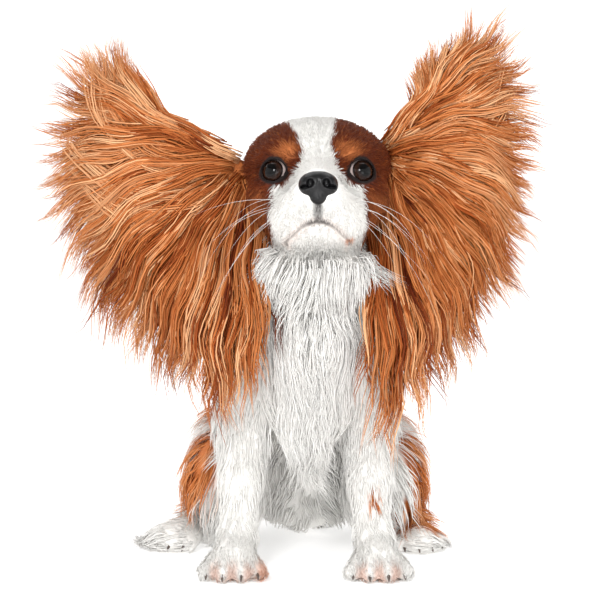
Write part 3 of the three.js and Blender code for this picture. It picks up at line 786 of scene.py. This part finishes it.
nose_points, nose_quads = surface_net(nose_leather, [-20, -102, -48], [20, -68, -12], 0.55)
nose = new_mesh("nose_fine", head_to_body(nose_points), nose_quads, {})
nose_finish = Finish(
    "nose_leather", Roughness=0.36, Coat_Weight=0.1, Coat_Roughness=0.2, Specular_IOR_Level=0.28
)
nose_place = nose_finish.node("TexCoord", output=3)
pebbles = nose_finish.node("TexVoronoi", {"feature": "SMOOTH_F1"}, {"Vector": nose_place, "Scale": 1100.0})
mottle = nose_finish.node("TexNoise", {}, {"Vector": nose_place, "Scale": 160.0, "Detail": 3.0})
nose_finish.shade("Base Color", nose_finish.colour_mix(mottle, srgb(7, 7, 8), srgb(24, 23, 25)))
relief = nose_finish.node("Bump", {}, {"Strength": 0.5, "Distance": 0.0004, "Height": pebbles})
nose_finish.shade("Normal", relief)
nose.data.materials.append(nose_finish.material)
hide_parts("nose")

# Coat
# The fur is solid strands in tufts. Guide strands leave the skin, follow the lie of the coat, keep clear of
# the body but close to it, and draw the strands round them together towards their tips.
chance = np.random.default_rng(11)
mass_names = list(masses)
skin_tris = np.concatenate([skin_quads[:, [0, 1, 2]], skin_quads[:, [0, 2, 3]]])
skin_owner = np.argmin(np.stack([masses[name](skin_points) for name in mass_names], -1), -1)
tri_owner = skin_owner[skin_tris[:, 0]]


def sample_roots(owners, count, keep=None):
    """Points spread evenly by area over the skin's triangles that lie on the given masses."""
    tris = skin_tris[np.isin(tri_owner, [mass_names.index(name) for name in owners])]
    if keep is not None:
        tris = tris[keep(skin_points[tris].mean(1))]
    a, b, c = (skin_points[tris[:, k]] for k in range(3))
    area = np.linalg.norm(np.cross(b - a, c - a), axis=1)
    picked = chance.choice(len(tris), count, p=area / area.sum())
    u, v = chance.random((2, count, 1))
    u, v = np.where(u + v > 1, 1 - u, u), np.where(u + v > 1, 1 - v, v)
    return a[picked] + u * (b - a)[picked] + v * (c - a)[picked]


def unit(v):
    """Vectors at length one."""
    return v / np.maximum(np.linalg.norm(v, axis=-1, keepdims=True), 1e-9)


def fall(roots, flow, length, lift, steps, cling):
    """Paths that follow a flow from the skin. At each step a point is moved along the skin's normal by the
    whole of what it lies too deep for the lift there, or by the cling's share of what it lies too high."""
    normal = outward(whole_skin, roots)
    p = roots - normal * 0.8
    path = [p]
    for step in range(1, steps):
        t = step / (steps - 1)
        p = p + unit(flow(p, normal, t)) * (length / (steps - 1))[:, None]
        target = lift * math.sin(math.pi * (0.15 + 0.55 * t))
        for _ in range(2):
            off = whole_skin(p) - target
            normal = outward(whole_skin, p)
            p = p - normal * (np.minimum(off, 0) + cling * np.clip(off, 0, 12))[:, None]
        p[:, 2] = np.maximum(p[:, 2], 1.0)
        path.append(p)
    return np.stack(path, 1)


def nearest(points, centres):
    """The index of the nearest centre to each point, worked out in blocks."""
    found = []
    for block in np.array_split(points, max(1, len(points) // 1500)):
        found.append(np.argmin(((block[:, None] - centres[None]) ** 2).sum(-1), 1))
    return np.concatenate(found)


coat_finish = fur_finish("coat", lambda fur: fur.number("tone"))


def strand_mesh(name, paths, out, width, tone, uv, extra, taper=0.35):
    """Three-sided strands: a ring of three points at each step of a path and one at its tip, narrowing from
    a taper of the way along. Each strand's patch of the map is 0.003 across, at its root's place."""
    count, steps, _ = paths.shape
    t = np.linspace(0, 1, steps)
    along = unit(np.gradient(paths, axis=1))
    side = unit(np.cross(along, out[:, None]))
    up = np.cross(side, along)
    swell = 0.75 + 0.25 * step_between(t, 0, 0.2)
    narrowing = 1 - 0.86 * step_between(t, taper, 1.05)
    girth = (width[:, None] * swell * narrowing)[..., None]
    ring = np.stack([paths + side * girth, paths - side * girth, paths + up * girth * 0.7], 2)[:, :-1]
    points = np.concatenate([ring.reshape(count, -1, 3), paths[:, -1:]], 1)
    per = points.shape[1]
    faces = [[0, 1, 2]]
    for k in range(steps - 2):
        for a, b in [(0, 2), (2, 1), (1, 0)]:
            low_a, low_b, high_a, high_b = 3 * k + a, 3 * k + b, 3 * k + 3 + a, 3 * k + 3 + b
            faces += [[low_a, low_b, high_b], [low_a, high_b, high_a]]
    last = 3 * (steps - 2)
    faces += [[last + a, last + b, per - 1] for a, b in [(0, 2), (2, 1), (1, 0)]]
    faces = (np.array(faces)[None] + (np.arange(count) * per)[:, None, None]).reshape(-1, 3)
    t_point = np.append(np.repeat(t[:-1], 3), 1.0)
    corner = np.append(np.tile([0.0, 1.0, 0.5], steps - 1), 0.5)
    patch = np.stack([corner, t_point], -1) * 0.003
    uv_all = (np.clip(uv, 0.002, 0.995)[:, None] + patch[None]).reshape(-1, 2)
    # Tone rises from root to tip: partly the hair's lighter tips, partly painted shade at the roots.
    data = {"tone": (tone[:, None] + 0.20 * (t_point[None] - 0.45)).ravel()}
    for key in ("chestnut", "face", "brow", "stain", "bare"):
        data[key] = np.repeat(extra.get(key, np.zeros(count)), per)
    piece = new_mesh(name, points.reshape(-1, 3), faces, data, uv_all)
    piece.data.materials.append(coat_finish.material)
    return piece


def round_unwrap(roots):
    """A round unwrap: the turn about an upright line through the roots' middle, and the share of their
    height."""
    centre, low, high = np.median(roots, 0), roots[:, 2].min() - 1, roots[:, 2].max() + 1
    turn = np.arctan2(roots[:, 0] - centre[0], centre[1] - roots[:, 1]) / (2 * math.pi) + 0.5
    return np.stack([turn, (roots[:, 2] - low) / (high - low)], -1)


def dress(
    name, owners, count, flow, length, *, lift, width, steps, tuft,
    keep=None, pull=0.6, wave=0.0, stray=0.08, cling=0.35, loose=0.03,
):
    """A coat on the given masses: a guide for every tuft of strands, then the strands drawn towards them. The
    wave of a guide is a sine along it, to one side, whose phase changes slowly over the skin."""
    roots = sample_roots(owners, count, keep)
    guide_roots = roots[::tuft]
    size = length(guide_roots) * chance.uniform(0.82, 1.12, len(guide_roots))
    astray = chance.normal(0, stray, (len(guide_roots), 3))
    lie = lambda p, n, t: unit(flow(p, n, t)) + astray
    guides = fall(guide_roots, lie, size, lift, steps, cling)
    mine = nearest(roots, guide_roots)
    t = np.linspace(0, 1, steps)[None, :, None]
    paths = guides[mine] + (roots - guide_roots[mine])[:, None] * (1 - pull * t**0.9)
    paths = paths[:, :1] + (paths - paths[:, :1]) * chance.uniform(0.72, 1.1, (len(roots), 1, 1))
    phase = (5 * ripple(guide_roots, 40.0) + chance.normal(0, 0.5, len(guide_roots)))[mine][:, None, None]
    sway = unit(np.cross(guides[:, -1] - guides[:, 0], outward(whole_skin, guide_roots)))[mine][:, None]
    paths = paths + sway * wave * np.sin(t * size[mine][:, None, None] / 8 + phase) * t**0.8
    bend = chance.normal(0, 1, (len(roots), 1, 3)) * loose * size[mine][:, None, None]
    paths = paths + bend * t**1.6
    flat = paths[:, 1:].reshape(-1, 3)
    sunk = whole_skin(flat) - 0.25
    push = np.flatnonzero(sunk < 0)
    flat[push] -= outward(whole_skin, flat[push]) * sunk[push][:, None]
    flat[:, 2] = np.maximum(flat[:, 2], 0.6)
    paths[:, 1:] = flat.reshape(len(roots), steps - 1, 3)
    tone = 0.60 + chance.normal(0, 0.10, len(guide_roots))[mine] + chance.normal(0, 0.08, len(roots))
    spread = roots + chance.normal(0, 0.9, roots.shape)
    extra = {
        "chestnut": chestnut_at(spread),
        "face": face_share(roots),
        "brow": brow_at(spread),
        "stain": stain_at(roots),
        "bare": bare_at(roots) * 0.7,
    }
    girth = width * chance.uniform(0.75, 1.25, len(roots))
    piece = strand_mesh(name, paths, outward(whole_skin, roots), girth, tone, round_unwrap(roots), extra)


def constant(value):
    """The same length at every root."""
    return lambda roots: np.full(len(roots), float(value))


def along_skin(lie, n):
    """The part of a direction that runs along the skin."""
    return unit(lie - n * (lie * n).sum(-1, keepdims=True))


def over_face(p, n, t):
    """Away from the nose over the muzzle and skull, turning down over the cheeks, close to the skin."""
    nose_tip = head_to_body([0, -88, -22])
    low = step_between(nose_tip[2] - p[:, 2], -6, 22)[:, None]
    lie = unit(p - nose_tip) * (1 - 0.45 * low) + np.array([0, 0, -0.9]) * low
    return along_skin(lie, n) + n * 0.2


def clear_of_features(roots):
    """Leaves out the lids and eyes, the nose and the parting of the lips."""
    h = body_to_head(roots)
    eyes = np.min([opening(h, s) + 50 * (np.abs(eye_coordinates(h, s)[2]) > 40) for s in (-1, 1)], 0)
    return (eyes > 2.6) & (nose_flesh(h) > 0.9) & (to_lips(h) > 1.9) & (to_crease(h) > 1.4)


def face_length(roots):
    """Short on the muzzle, by the lips and round the eyes, longer towards the cheeks, nape and throat."""
    h = body_to_head(roots)
    from_nose = np.linalg.norm(h - [0, -88, -26], axis=-1)
    grown = 4.0 + 7.0 * step_between(from_nose, 20, 100) + 14 * step_between(-h[:, 2], 66, 84)
    near = np.minimum(to_lips(h), to_crease(h) + 1)
    return np.minimum(grown, 1.2 + near * 0.7)


is_front = lambda p: body_to_head(p)[:, 1] < -22
face_keep = lambda p: clear_of_features(p) & is_front(p)
crown_keep = lambda p: ~is_front(p)
dress(
    "coat_face", ["head"], 15000, over_face, face_length,
    lift=1.3, width=0.25, steps=3, tuft=4, keep=face_keep, pull=0.2, stray=0.14,
)
dress(
    "coat_crown", ["head"], 7500, over_face, face_length,
    lift=1.6, width=0.34, steps=3, tuft=4, keep=crown_keep, pull=0.25, stray=0.14,
)


def ruff_flow(p, n, t):
    """Down over the breast's swell with a parting down its middle, and backwards at the sides and nape."""
    behind = step_between(p[:, 1], -34, 4)[:, None]
    swirl = ripple(p, 34.0, 1.0)
    front = np.stack([0.008 * p[:, 0] + 0.55 * swirl, 0 * swirl - 0.1, 0 * swirl - 1], -1)
    back = np.stack([0.25 * np.sign(p[:, 0]), 0.55 + 0 * swirl, -0.8 + 0 * swirl], -1)
    return along_skin(front * (1 - behind) + back * behind, n) + n * (0.26 - 0.26 * t)


dress(
    "coat_neck", ["neck"], 5600, ruff_flow, constant(44),
    lift=9, width=0.42, steps=6, tuft=12, pull=0.3, wave=3.0, loose=0.06,
)


def bib_flow(p, n, t):
    """Down the breast, drawn in to a point between the forelegs."""
    swirl = 0.16 * ripple(p, 40.0, 3.0)
    return np.stack([-0.008 * (p[:, 0] + 7) * t + swirl, -0.16 + 0.25 * t + 0 * swirl, -1 + 0 * swirl], -1)


dress(
    "coat_chest", ["chest"], 3600, bib_flow, constant(60),
    lift=6, width=0.42, steps=7, tuft=12, pull=0.35, wave=4.0, cling=0.2, loose=0.06,
)


def back_flow(p, n, t):
    """Backwards and down along the trunk, and straight down over the breast."""
    side = 0.25 * np.sign(p[:, 0] - FOOT_AXIS)
    ahead = step_between(-p[:, 1], 20, 40)
    lie = np.stack([side * (1 - ahead), 0.75 - 0.9 * ahead, -0.75 - 0.25 * ahead], -1)
    return along_skin(lie, n) + n * 0.1


def back_length(roots):
    """Long where it hangs from the breast between the forelegs, and shorter on the back and sides."""
    return 32 + 22 * step_between(-roots[:, 1], 20, 45)


dress(
    "coat_torso", ["torso"], 3800, back_flow, back_length,
    lift=4.5, width=0.58, steps=6, tuft=9, pull=0.4, wave=1.8, cling=0.2, loose=0.04,
)


def leg_flow(side):
    """Down the leg, with feathers behind and outside that stand away from it."""

    def flow(p, n, t):
        feather = step_between(p[:, 1], -46, -26)[:, None] * np.array([side * 0.55, 0.2, 0])
        return along_skin(np.zeros_like(p) + [0, 0, -1], n) + n * 0.12 + feather

    return flow


def leg_length(roots):
    """Short in front and long behind, most of all above the wrist."""
    behind = step_between(roots[:, 1], -58, -36)
    return 14 + 28 * behind * step_between(roots[:, 2], 30, 70)


def paw_flow(p, n, t):
    """Forwards over the toes and down their sides."""
    return along_skin(np.zeros_like(p) + [0, -0.8, -0.5], n) + n * 0.22


def paw_length(roots):
    """Short on top of the toes, and longer low down at the sides and heel."""
    return 8 + 9 * (1 - step_between(roots[:, 2], 8, 26)) * step_between(roots[:, 1], -98, -84)


def thigh_flow(side):
    """Down and outwards over the thigh, lifted from it at the root."""
    return lambda p, n, t: along_skin(np.array([side * 0.30, 0.20, -1.0]) + 0 * n, n) + n * (0.4 - 0.3 * t)


def foot_flow(side, ahead):
    """Outwards along the hind foot and past its toes, as a slipper of hair."""
    slipper = ahead * 0.4 + np.array([side * 1.0, 0.1, -0.1])
    return lambda p, n, t: along_skin(slipper + 0 * n, n) + n * 0.1 + [side * 0.5, 0, -0.1]


def foot_length(long_hair):
    """Half of the hair short and half of it long."""
    return lambda roots: np.where(chance.random(len(roots)) < 0.5, long_hair, 10)


for side_name, side, ahead, slipper_length in (
    ("right", -1, foot_ahead_right, 64),
    ("left", 1, foot_ahead_left, 28),
):
    dress(
        f"coat_foreleg_{side_name}", [f"foreleg_{side_name}"], 2450, leg_flow(side), leg_length,
        lift=2, width=0.42, steps=5, tuft=6, pull=0.25, wave=0.8, cling=0.25, loose=0.05,
    )
    dress(
        f"coat_forepaw_{side_name}", [f"forepaw_{side_name}"], 3000, paw_flow, paw_length,
        lift=1.6, width=0.3, steps=3, tuft=4, pull=0.25, stray=0.12,
    )
    dress(
        f"coat_thigh_{side_name}", [f"thigh_{side_name}"], 1650, thigh_flow(side), constant(42),
        lift=6, width=0.56, steps=6, tuft=9, pull=0.45, wave=1.6, cling=0.05, loose=0.05,
    )
    dress(
        f"coat_hind_foot_{side_name}", [f"hind_foot_{side_name}"], 1250, foot_flow(side, ahead),
        foot_length(slipper_length), lift=1.5, width=0.42, steps=5, tuft=6, pull=0.4, wave=1.0,
    )


def tail_flow(p, n, t):
    """Along the tail and out to both sides of it, as a plume."""
    along = np.where((p[:, 1] < 200)[:, None], [-0.35, 1.0, -0.3], [-1.0, 0.45, -0.2])
    return along + n * (0.6 - 0.3 * t) * [1, 1, 0.4]


dress(
    "coat_tail", ["tail"], 1350, tail_flow, constant(48),
    lift=4, width=0.66, steps=6, tuft=10, pull=0.55, wave=2.0, cling=0.05,
)

# Ear hair
# Long, silky, wavy hair fans out from each ear's leather. It leaves the flap along its rays, droops in the
# middle of the fan, curls up at its top and ends in tapering locks of unlike length.
firm_masses = [name for name in mass_names if "ear" not in name]
firm_body = lambda p: np.min([masses[name](p) for name in firm_masses], 0)


def ear_guides(ear, guides, layer, share, steps, crossing):
    """The middle lines of an ear's locks. A lock's angle eases from its root's to its tip's, with waves of
    about 60 mm, and it rises from its side of the sheet in half a sine. A share of them cross the others.
    It gives the lines, each root's place on the flap, each tip's place along the fan and which ones cross."""
    low, high = ear["angles"][0] + 4, ear["angles"][-1]
    place = (np.arange(guides) + chance.random(guides)) / guides
    tip_angle = low + (high - low) * place + chance.normal(0, 3, guides) * (1 - place) ** 3
    turn_down = 20 * np.sin(math.pi * (1 - place) ** 0.8) - 15 * place**4
    across_others = chance.random(guides) < crossing * step_between(place, 0.55, 0.75)
    root_angle = np.where(across_others, tip_angle - 34, np.minimum(tip_angle + turn_down, high - 1))
    full = np.interp(tip_angle, ear["angles"], ear["reach"]) * share
    reach = full * chance.uniform(0.84, 1.02, guides) * (1 + 0.02 * np.sin(tip_angle * 0.33 + layer * 2))
    begin = np.interp(root_angle, ear["angles"], ear["reach"]) * np.sqrt(chance.uniform(0.0005, 0.15, guides))
    t = np.linspace(0, 1, steps)[None]
    distance = begin[:, None] + (reach - begin)[:, None] * t
    phase = (tip_angle * 0.08 + layer + chance.normal(0, 0.35, guides))[:, None]
    tall = chance.uniform(2.2, 4.8, (guides, 1))
    second = (tip_angle * 0.31 + chance.normal(0, 0.7, guides))[:, None]
    wave = tall * np.sin(distance * 0.105 + phase) * t**0.6 + 1.6 * np.sin(distance * 0.06 + second) * t
    curl = chance.normal(0, 2.2, (guides, 1)) + 4.0 * place[:, None] ** 2
    angle = root_angle[:, None] + (tip_angle - root_angle)[:, None] * t**1.4 + curl * t**4
    angle = angle + np.degrees(wave / np.maximum(distance, 30))
    paths = on_sheet(ear, angle, distance)
    rise = np.sin(math.pi * np.clip(t * 0.85 + 0.08, 0, 1)) * chance.uniform(0.2, 1.2, (guides, 1))
    paths[..., 1] += layer * (2.0 + 8.5 * rise) + 1.8 * np.sin(distance * 0.09 + second)
    flat = paths.reshape(-1, 3)
    for _ in range(2):
        near = firm_body(flat) - 3.0
        push = np.flatnonzero(near < 0)
        flat[push] -= outward(firm_body, flat[push]) * near[push][:, None]
    root_place = np.stack([(root_angle - low) / (high - low), begin / 110], -1)
    return flat.reshape(paths.shape), root_place, place, across_others


def ear_hair(name, ear, *, guides, strands, layer, share, lock, steps, crossing=0.0):
    """A lock of strands round each middle line. They lie beside it, before and behind it by normal draws that
    narrow to its tip, and end at unlike lengths. Tone changes from lock to lock and from strand to strand,
    and painted shade darkens the locks low in the fan and the whole back layer."""
    paths, root_place, place, across_others = ear_guides(ear, guides, layer, share, steps, crossing)
    t = np.linspace(0, 1, steps)[None]
    mine = np.repeat(np.arange(guides), strands)
    across = unit(np.cross(unit(np.gradient(paths, axis=1)), [0, 1.0, 0]))[mine]
    narrow = (1 - 0.72 * t**0.85)[..., None]
    hair = paths[mine] + across * chance.normal(0, lock, (len(mine), 1, 1)) * narrow
    hair[..., 1:2] += chance.normal(0, 1.3, (len(mine), 1, 1)) * narrow
    hair = hair[:, :1] + (hair - hair[:, :1]) * chance.uniform(0.78, 1.0, (len(mine), 1, 1))
    hair = hair + chance.normal(0, 1.1, (len(mine), 1, 3)) * t[..., None] ** 1.6
    # Each lock's random streak, lighter where it crosses the others, and painted shade low in the fan.
    streak_and_painted_shade = chance.normal(0, 0.19, guides) + 0.2 * across_others + 0.10 * (place - 0.45)
    # The back layer, behind the leather, is darkened by painted shade.
    tone = 0.55 + streak_and_painted_shade[mine] + chance.normal(0, 0.10, len(mine)) - 0.08 * (layer > 0)
    uv = root_place[mine] + chance.normal(0, 0.006, (len(mine), 2))
    facing = np.zeros((len(mine), 3)) + [0, 1.0 if layer > 0 else -1.0, 0]
    girth = 0.62 * chance.uniform(0.6, 1.35, len(mine))
    piece = strand_mesh(name, hair, facing, girth, tone, uv, {"chestnut": np.ones(len(mine))}, taper=0.5)


for side_name, ear in EARS.items():
    ear_hair(
        f"coat_ear_{side_name}_front", ear,
        guides=160, strands=15, layer=-1, share=0.99, lock=3.3, steps=13, crossing=ear["crossing"],
    )
    ear_hair(
        f"coat_ear_{side_name}_middle", ear,
        guides=155, strands=11, layer=-0.25, share=1.09, lock=3.3, steps=11,
    )
    ear_hair(
        f"coat_ear_{side_name}_back", ear,
        guides=80, strands=11, layer=0.6, share=1.0, lock=4.6, steps=9,
    )

# Whiskers
# Long, pale, springy hairs in three short rows on each side of the muzzle. They arch out from its sides and
# droop under their own weight, by a sag that grows as a power of the way along.
whisker_rows = []
for side in (-1, 1):
    for row in range(3):
        for k in range(3):
            start = np.array([side * 30.0, -66.0 + 6.5 * k, -36.0 - 7 * row])
            lie = [side * 1.0, -0.1 + 0.15 * k, 0.05 - 0.3 * row] + chance.normal(0, 0.12, 3)
            whisker_rows.append((start, lie, chance.uniform(40, 82)))
starts = np.array([start for start, _, _ in whisker_rows])
for _ in range(30):
    starts -= outward(skull, starts) * (skull(starts) + 1.2)[:, None] * 0.6
lies = unit(np.array([lie for _, lie, _ in whisker_rows]))
lengths = np.array([length for _, _, length in whisker_rows])[:, None, None]
t = np.linspace(0, 1, 9)[None, :, None]
sag = np.array([0, 0, -1.0]) * chance.uniform(0.25, 0.9, (len(starts), 1, 1))
arch = lies[:, None] * t + sag * t**2.2 + [0, 0.12, 0] * t**2
whisker_lines = head_to_body(starts[:, None] + lengths * arch)
whiskers = strand_mesh(
    "whiskers",
    whisker_lines,
    np.zeros((len(starts), 3)) + [0, -1.0, 0],
    np.full(len(starts), 0.11),
    np.full(len(starts), 0.8),
    round_unwrap(whisker_lines[:, 0]),
    {},
)

# Claws
# Short, blunt hooks of dark horn, four on each foot. Each grows from the end of its toe, wide at the root,
# and curves down between the hairs to just above the floor.
def claw(toe_end, ahead):
    """A curved cone: rings of eight round a quarter arc that leaves the toe ahead and turns down."""
    turn = np.linspace(0.15, 1.25, 6)[:, None]
    up = np.array([0, 0, 1.0])
    line = toe_end - ahead * 3.0 + up * 0.5 + 6.0 * (np.sin(turn) * ahead + (np.cos(turn) - 1) * up)
    line[:, 2] = np.maximum(line[:, 2], 1.0)
    across = np.cross(ahead, up)
    spin = np.linspace(0, 2 * math.pi, 8, endpoint=False)
    radius = np.linspace(1.8, 0.6, 6)[:, None, None]
    ring = np.cos(spin)[None, :, None] * across + np.sin(spin)[None, :, None] * up
    rings = (line[:, None] + ring * radius).reshape(-1, 3)
    points = np.concatenate([rings, line[:1], line[-1:] + ahead * 0.4])
    ids = np.arange(48).reshape(6, 8)
    after = np.roll(ids, -1, 1)
    a, b, c, d = ids[:-1].ravel(), after[:-1].ravel(), after[1:].ravel(), ids[1:].ravel()
    root = np.stack([ids[0], np.full(8, 48), after[0]], -1)
    tip = np.stack([ids[-1], after[-1], np.full(8, 49)], -1)
    return points, np.concatenate([np.stack([a, b, c], -1), np.stack([a, c, d], -1), root, tip])


claw_ends = []
for side in (-1, 1):
    paw_x = FOOT_AXIS + side * (FORELEG_SPREAD + 2)
    for spread, back in FORE_TOES:
        claw_ends.append((np.array([paw_x + spread, -105.0 + back, 7.5]), np.array([spread * 0.008, -1, 0])))
for foot_ball, ahead in ((foot_ball_right, foot_ahead_right), (foot_ball_left, foot_ahead_left)):
    across = np.array([-ahead[1], ahead[0], 0])
    for spread, reach in HIND_TOES:
        end = foot_ball + [0, 0, -3.5] + across * spread + ahead * (reach + 7)
        claw_ends.append((end, ahead + across * spread * 0.01))
claw_points, claw_faces = zip(*[claw(end, unit(ahead)) for end, ahead in claw_ends])
claw_faces = np.concatenate([faces + k * len(claw_points[0]) for k, faces in enumerate(claw_faces)])
claws = new_mesh("claws", np.concatenate(claw_points), claw_faces, {})
claws.data.materials.append(Finish("dark_horn", Roughness=0.35, Base_Color=srgb(84, 70, 62)).material)

# Floor, light and camera
# A pale round floor whose rim bends up into a wall, under soft studio light, seen from as far off and as high
# as in the photograph.
def bowl(floor_radius, bend_radius, height, spokes=96):
    """A level disc whose rim turns up by a quarter circle of the bend's radius and rises to the height."""
    bend = np.linspace(0, math.pi / 2, 13)
    r = np.concatenate([[0.6, 1.5], floor_radius + bend_radius * np.sin(bend), [floor_radius + bend_radius]])
    z = np.concatenate([[0.0, 0.0], bend_radius * (1 - np.cos(bend)), [height]])
    turn = np.linspace(0, 2 * math.pi, spokes, endpoint=False)
    rings = np.stack([r[:, None] * np.cos(turn), r[:, None] * np.sin(turn), z[:, None] + 0 * turn], -1)
    ids = np.arange(len(r) * spokes).reshape(len(r), spokes)
    after = np.roll(ids, -1, 1)
    squares = np.stack([ids[:-1], ids[1:], after[1:], after[:-1]], -1).reshape(-1, 4).tolist()
    return rings.reshape(-1, 3).tolist(), squares + [ids[0].tolist()]


floor_points, floor_faces = bowl(floor_radius=3.2, bend_radius=1.2, height=3.4)
floor_mesh = bpy.data.meshes.new("floor")
floor_mesh.from_pydata(floor_points, [], floor_faces)
floor_mesh.polygons.foreach_set("use_smooth", np.ones(len(floor_faces), bool))
floor = bpy.data.objects.new("floor", floor_mesh)
bpy.context.scene.collection.objects.link(floor)
floor_finish = Finish("studio_floor", Roughness=0.9, Base_Color=(0.93, 0.93, 0.93, 1), Specular_IOR_Level=0.1)
floor_finish.shader.inputs["Emission Color"].default_value = (1, 1, 1, 1)
floor_finish.shader.inputs["Emission Strength"].default_value = 0.42
floor.data.materials.append(floor_finish.material)

world = bpy.data.worlds.new("studio")
bpy.context.scene.world = world
world.use_nodes = True
world.node_tree.nodes["Background"].inputs["Color"].default_value = (1, 1, 1, 1)
world.node_tree.nodes["Background"].inputs["Strength"].default_value = 0.30


def soft_light(name, place, power, size):
    """A square area light that points at the middle of the dog."""
    lamp = bpy.data.lights.new(name, "AREA")
    lamp.energy, lamp.size = power, size
    light = bpy.data.objects.new(name, lamp)
    light.location = place
    light.rotation_euler = (Vector((0, 0, 0.22)) - Vector(place)).to_track_quat("-Z", "Y").to_euler()
    bpy.context.scene.collection.objects.link(light)


soft_light("key", (-0.5, -2.3, 1.5), power=32, size=0.6)
soft_light("fill", (0.8, -2.3, 0.35), power=9, size=1.0)
soft_light("top", (0.0, 0.9, 2.2), power=16, size=1.6)
bpy.context.scene.view_settings.view_transform = "Standard"

CAMERA_FROM_DOG = 1700.0
CAMERA_HEIGHT = 385.0
FRAME_MIDDLE_X = -14.5
LOOK_DOWN = math.radians(5.45)
camera_data = bpy.data.cameras.new("camera")
camera_data.sensor_width = 36
camera_data.lens = 120
camera = bpy.data.objects.new("camera", camera_data)
camera.location = to_row([FRAME_MIDDLE_X, -CAMERA_FROM_DOG, CAMERA_HEIGHT])
camera.rotation_euler = (math.pi / 2 - LOOK_DOWN, 0, 0)
bpy.context.scene.collection.objects.link(camera)
bpy.context.scene.camera = camera
